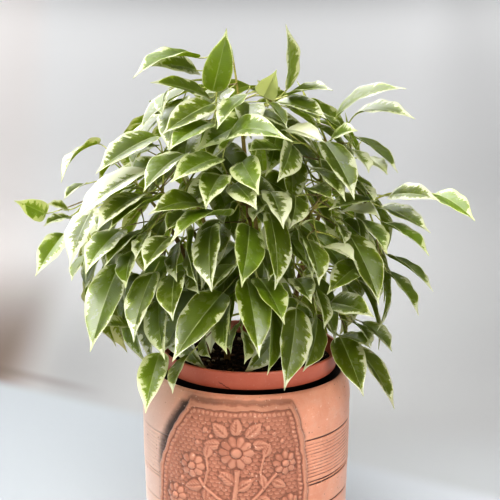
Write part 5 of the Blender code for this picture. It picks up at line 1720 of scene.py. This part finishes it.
def plastic_material():
    """Red-brown plastic: soft gloss, flow marks, fine scratches and a little dust at its rim; its wall below
    the band is painted near black as shade.
    """
    g = Graph("moulded_plastic")
    turn, height = g.place("place")
    where = g.there()
    cloud = g.noise(where, 40.0, 3.0)
    colour = g.mix(g.step(cloud, 0.3, 0.7), (0.50, 0.140, 0.085), (0.56, 0.178, 0.114))
    lines = g.noise(g.point(turn * 5.0, height * 160.0), 1.0, 2.0)
    colour = g.mix(g.step(lines, 0.55, 0.75) * 0.12, colour, (0.70, 0.26, 0.18))
    scratch = g.noise(g.point(turn * 14.0, (height + turn * 0.06) * 300.0, 4.0), 1.0, 1.0)
    scratched = g.step(scratch, 0.70, 0.74) * g.step(g.noise(where, 60.0, 1.0), 0.52, 0.60)
    colour = g.mix(scratched * 0.6, colour, (0.20, 0.04, 0.03))

    # one long scratch across the band
    line = 0.558 - (turn - SCRATCH_FROM) * 0.40
    wobble = (g.noise(g.point(turn, 0.0), 30.0, 2.0) - 0.5) * 0.030
    span = g.step(turn, SCRATCH_FROM, SCRATCH_FROM + 0.02) * g.fall(turn, SCRATCH_TO, SCRATCH_TO + 0.02)
    cut = g.fall(abs(height - (line + wobble)), 0.0022, 0.0060) * span
    colour = g.mix(cut * 0.75, colour, (0.10, 0.022, 0.016))
    dust = g.step(g.noise(where, 420.0, 3.0, 0.65), 0.60, 0.72)
    colour = g.mix(dust * 0.22, colour, (0.62, 0.40, 0.32))
    # painted shade: the wall below the band, down in the terracotta pot, is painted near black
    colour = g.mix(g.fall(height, 0.5 - 0.002, 0.5 + 0.004), colour, (0.012, 0.006, 0.005))
    rough = g.step(cloud, 0.3, 0.7, 0.30, 0.42) + scratched * 0.3
    bump = g.bump(lines * 0.3 + scratched * -1.0, 0.00010)
    return g.surface(colour, rough, Normal=bump, Specular_IOR_Level=0.5)


def icosahedron():
    """An icosahedron's corners, and its faces turned outwards."""
    golden = (1 + math.sqrt(5)) / 2
    corners = []
    for a, b in ((1, golden), (-1, golden), (1, -golden), (-1, -golden)):
        corners += [(0, a, b), (a, b, 0), (b, 0, a)]
    faces = []
    for a, b, c in itertools.combinations(range(len(corners)), 3):
        pa, pb, pc = (Vector(corners[k]) for k in (a, b, c))
        if max((pa - pb).length, (pb - pc).length, (pa - pc).length) < 2.1:
            outwards = (pb - pa).cross(pc - pa).dot(pa + pb + pc) > 0
            faces.append((a, b, c) if outwards else (a, c, b))
    return corners, faces


LUMP_CORNERS, LUMP_FACES = icosahedron()


def crumb(mesh, centre, reach, draw, number, flat=1.0):
    """An angular lump: an icosahedron with its corners pushed about."""
    turn = draw.uniform(0, 2 * math.pi)
    cos, sin = math.cos(turn), math.sin(turn)
    stretch = (draw.uniform(0.7, 1.4), draw.uniform(0.6, 1.1), draw.uniform(0.5, 0.9) * flat)
    picks = (draw.random(), draw.random())
    points = []
    for corner in LUMP_CORNERS:
        push = draw.uniform(0.75, 1.2)
        x, y, z = (value / 1.9 * wide * push for value, wide in zip(corner, stretch))
        points.append(centre + Vector((x * cos - y * sin, x * sin + y * cos, z)) * reach)
    mesh.add(points, [(0.0, 0.0, 0.0, 0.0, *picks, 0.0, 0.0)] * len(points), LUMP_FACES, number)


def soil_body(mesh, edge):
    """Adds the soil's uneven surface, with a little heap at each stem, and its side down the pot."""
    rings, spokes = SOIL_GRID // 2, SOIL_GRID * 2
    for ring in range(rings + 1):
        radius = SOIL_HUB + (edge - SOIL_HUB) * (ring / rings)
        for spoke in range(spokes):
            turn = 2 * math.pi * (spoke + 0.5 * (ring % 2)) / spokes
            x, y = round_axis(radius, turn)
            z = soil_height(x, y)
            fine = noise.fractal(Vector((x, y, 0.3)) * 260, 0.9, 2.1, 4)
            z += 0.0008 * fine + 0.0006 * noise.noise(Vector((x, y, 7.0)) * 90)
            near = min(math.hypot(x - root[0], y - root[1]) for root, _ in STEMS.values())
            z += HEAP_RISE * math.exp(-((near / HEAP_REACH) ** 2))
            mesh.points.append((x, y, z - 0.0004))
            mesh.places.append((x * PLACE_SCALE, y * PLACE_SCALE, 0.0, 0.0, 0.5, 0.5, 0.0, 0.0))
    for share, z in SOIL_SIDE:
        radius = min(edge * share, nursery_inside(z) - 0.0005)
        for spoke in range(spokes):
            turn = 2 * math.pi * (spoke + 0.5 * (rings % 2)) / spokes
            mesh.points.append((*round_axis(radius, turn), z))
            mesh.places.append((0.0, z * PLACE_SCALE, 0.0, 0.0, 0.5, 0.5, 0.0, 0.0))
    mesh.turn_solid(rings + 1 + len(SOIL_SIDE), spokes)


def fine_soil(earth, grit):
    """The soil's crumbly surface with loose crumbs, bark chips and pale grains, and its side down the pot."""
    draw = random.Random(SOIL_SEED)
    edge = RIM_RADIUS - RIM_WALL - RIM_TAPER - SEAT_GAP * 2
    mesh = Mesh()
    soil_body(mesh, edge)
    for index in range(CRUMB_COUNT):
        radius, x, y = spot_on_soil(draw, edge, CRUMB_SPREAD)
        reach = draw.uniform(*CRUMB_REACHES) * (OUTER_SIZE if radius > edge * OUTER_FROM else 1.0)
        centre = Vector((x, y, soil_height(x, y) + reach * CRUMB_LIFT))
        crumb(mesh, centre, reach, draw, GRAIN if index % PALE_EVERY == 0 else SOIL)
    for _ in range(CHIP_COUNT):
        _, x, y = spot_on_soil(draw, edge, CHIP_SPREAD)
        centre = Vector((x, y, soil_height(x, y) + CHIP_LIFT))
        crumb(mesh, centre, draw.uniform(*CHIP_REACHES), draw, CHIP, CHIP_FLATNESS)
    piece = mesh.made("fine_soil", [earth, *grit], SOIL_SHARP)
    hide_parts("soil")
    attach(piece, "root")


def spot_on_soil(draw, edge, share):
    """A random spot within a share of the soil's edge: its distance from the middle, and where it is."""
    radius, turn = edge * math.sqrt(draw.random()) * share, draw.uniform(0, 2 * math.pi)
    return radius, *round_axis(radius, turn)


def nursery_inside(height):
    """The nursery pot's inner radius at a height."""
    foot = POT_FLOOR + SEAT_GAP
    share = min((height - foot) / (RIM_TOP - RIM_BAND - foot), 1.0)
    return NURSERY_FOOT_RADIUS + (NURSERY_WALL_RADIUS - NURSERY_FOOT_RADIUS) * share - NURSERY_WALL


def earth_material(name, dark, light, share):
    """Lumpy earth between a dark and a light tone, with a share of brown fibres."""
    g = Graph(name)
    first, _ = g.place("pick")
    where = g.there()
    lumps = g.noise(where, 420.0, 4.0, 0.65)
    fibres = g.noise(g.node("ShaderNodeMapping", {0: where, 3: (900.0, 220.0, 900.0)}), 1.0, 2.0)
    colour = g.mix(g.step(lumps + (first - 0.5) * 0.3, 0.30, 0.72), dark, light)
    colour = g.mix(g.step(fibres, 0.66, 0.72) * share, colour, (0.30, 0.17, 0.09))
    return g.surface(colour, 0.92, Normal=g.bump(lumps + fibres * 0.4, 0.0010), Specular_IOR_Level=0.2)


def floor_material():
    """A pale surface: bluish white near by, grey beyond a slanted line and paler again with distance. It is
    painted lighter where the plant's shadow falls, with painted shade and a painted shadow line at the wall's
    foot on the left.
    """
    g = Graph("pale_floor")
    x, y, _ = g.apart(g.there())
    aslant = y + x * FLOOR_SLANT
    # painted light: the near floor's right side and the zone behind the pot on the right are painted lighter
    # where the plant's shadow falls
    near = g.mix(g.step(x, 0.0, 0.14), NEAR_LEFT_TONE, NEAR_RIGHT_TONE)
    plant_shadow_lift = g.fall(y, 0.10, 0.28) * g.step(x, 0.0, 0.10)
    # painted shade: the wall's lower left, near its foot, darkens towards black
    left_foot_shade = g.fall(x, -0.20, -0.09) * g.fall(y, 0.45, 1.30)
    middle = g.mix(plant_shadow_lift, g.mix(left_foot_shade * 0.26, MIDDLE_TONE, BLACK), SHADOW_LIFT_TONE)
    rise = g.step(g.math("MAXIMUM", y, 0.0) ** 0.5, 0.62, g.step(x, -0.12, 0.05, 1.22, 1.36))
    far = g.mix(rise, middle, g.mix(g.step(y, 2.4, 4.2), FAR_TONE, FARTHEST_TONE))
    far = g.mix(g.fall(x, -0.45, -0.10) * 0.35, far, WHITE)
    far = g.mix(g.step(x - y * 0.12, 0.05, 0.24) * 0.16, far, BLACK)
    far = g.mix(g.step(x * -1.0 - y * 0.12, 0.13, 0.23) * 0.08, far, (1.0, 0.55, 0.35))
    # painted shade: a dark brown patch in the left corner at the wall's foot
    corner = g.fall(x, -0.262, -0.203) * g.fall(y, 0.42, 0.95)
    far = g.mix(corner * 0.82, far, (0.13, 0.09, 0.065))
    colour = g.mix(g.step(aslant, 0.195, 0.232), near, far)
    # painted shadow: a thin dark line along the wall's foot on the left
    seam = g.fall(abs(aslant - 0.250), 0.0, 0.022) * g.fall(x, -0.200, -0.130)
    colour = g.mix(seam * 0.30, colour, (0.13, 0.10, 0.08))
    colour = g.mix(g.noise(g.there(), 3.0, 2.0) * 0.02, colour, (0.5, 0.5, 0.5))
    return g.surface(colour, 0.85, Specular_IOR_Level=0.1)


def stage():
    """The floor and the room's even light."""
    mesh = bpy.data.meshes.new("floor")
    sides = ((-1, -1), (1, -1), (1, 1), (-1, 1))
    corners = [(x * FLOOR_REACH, y * FLOOR_REACH, -FLOOR_BELOW) for x, y in sides]
    mesh.from_pydata(corners, [], [(0, 1, 2, 3)])
    mesh.materials.append(floor_material())
    floor = linked("floor", mesh)
    floor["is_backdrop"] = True
    world = bpy.data.worlds.new("room")
    bpy.context.scene.world = world
    world.use_nodes = True
    background = world.node_tree.nodes["Background"]
    background.inputs[0].default_value = WORLD_COLOUR
    background.inputs[1].default_value = WORLD_STRENGTH


def aimed_light(name, kind, direction):
    """A new light that shines in a direction, and its settings."""
    data = bpy.data.lights.new(name, kind)
    lamp = linked(name, data)
    lamp.rotation_euler = direction.to_track_quat("-Z", "Y").to_euler()
    return lamp, data


def lights():
    _, day = aimed_light("daylight", "SUN", -Vector(DAY_FROM))
    day.energy = DAY_STRENGTH
    day.angle = DAY_SOFTNESS
    for name, place, target, width, height, spread, power, colour in LIGHTS:
        lamp, data = aimed_light(name, "AREA", Vector(target) - Vector(place))
        lamp.location = place
        data.shape = "RECTANGLE"
        data.size, data.size_y = width, height
        data.spread = math.radians(spread)
        data.energy = power
        data.color = colour


def camera():
    """The photograph's view: the same eye and angle that place the leaves."""
    data = bpy.data.cameras.new("view")
    data.sensor_fit = "HORIZONTAL"
    data.sensor_width = SENSOR_WIDTH
    data.lens = FOCAL_PIXELS / PICTURE_PIXELS * SENSOR_WIDTH
    data.clip_start, data.clip_end = 0.01, 200.0
    made = linked("view", data)
    made.location = EYE
    made.rotation_euler = (math.pi / 2 - VIEW_PITCH, 0.0, 0.0)
    bpy.context.scene.camera = made


def main():
    growths = grow([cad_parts[name] for name in ("outer_pot", "nursery_pot", "soil")])
    leaves = [leaf_material("leaf_top", False), leaf_material("leaf_underside", True)]
    foliage(growths, leaves + [stalk_material(), bark_material(), bud_material()])
    fine_outer_pot(clay_material())
    fine_nursery_pot(plastic_material())
    earth = earth_material("potting_soil", (0.012, 0.007, 0.005), (0.075, 0.040, 0.026), 0.7)
    grains = earth_material("pale_grain", (0.30, 0.24, 0.18), (0.55, 0.48, 0.38), 0.2)
    chips = earth_material("bark_chip", (0.05, 0.024, 0.014), (0.16, 0.085, 0.05), 0.5)
    fine_soil(earth, [grains, chips])
    stage()
    lights()
    camera()
    view = bpy.context.scene.view_settings
    view.view_transform = "Standard"
    view.look = "High Contrast"


main()
plain = [[[float(v) for v in corner] for corner in box] for box in (CAD_BOX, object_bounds())]
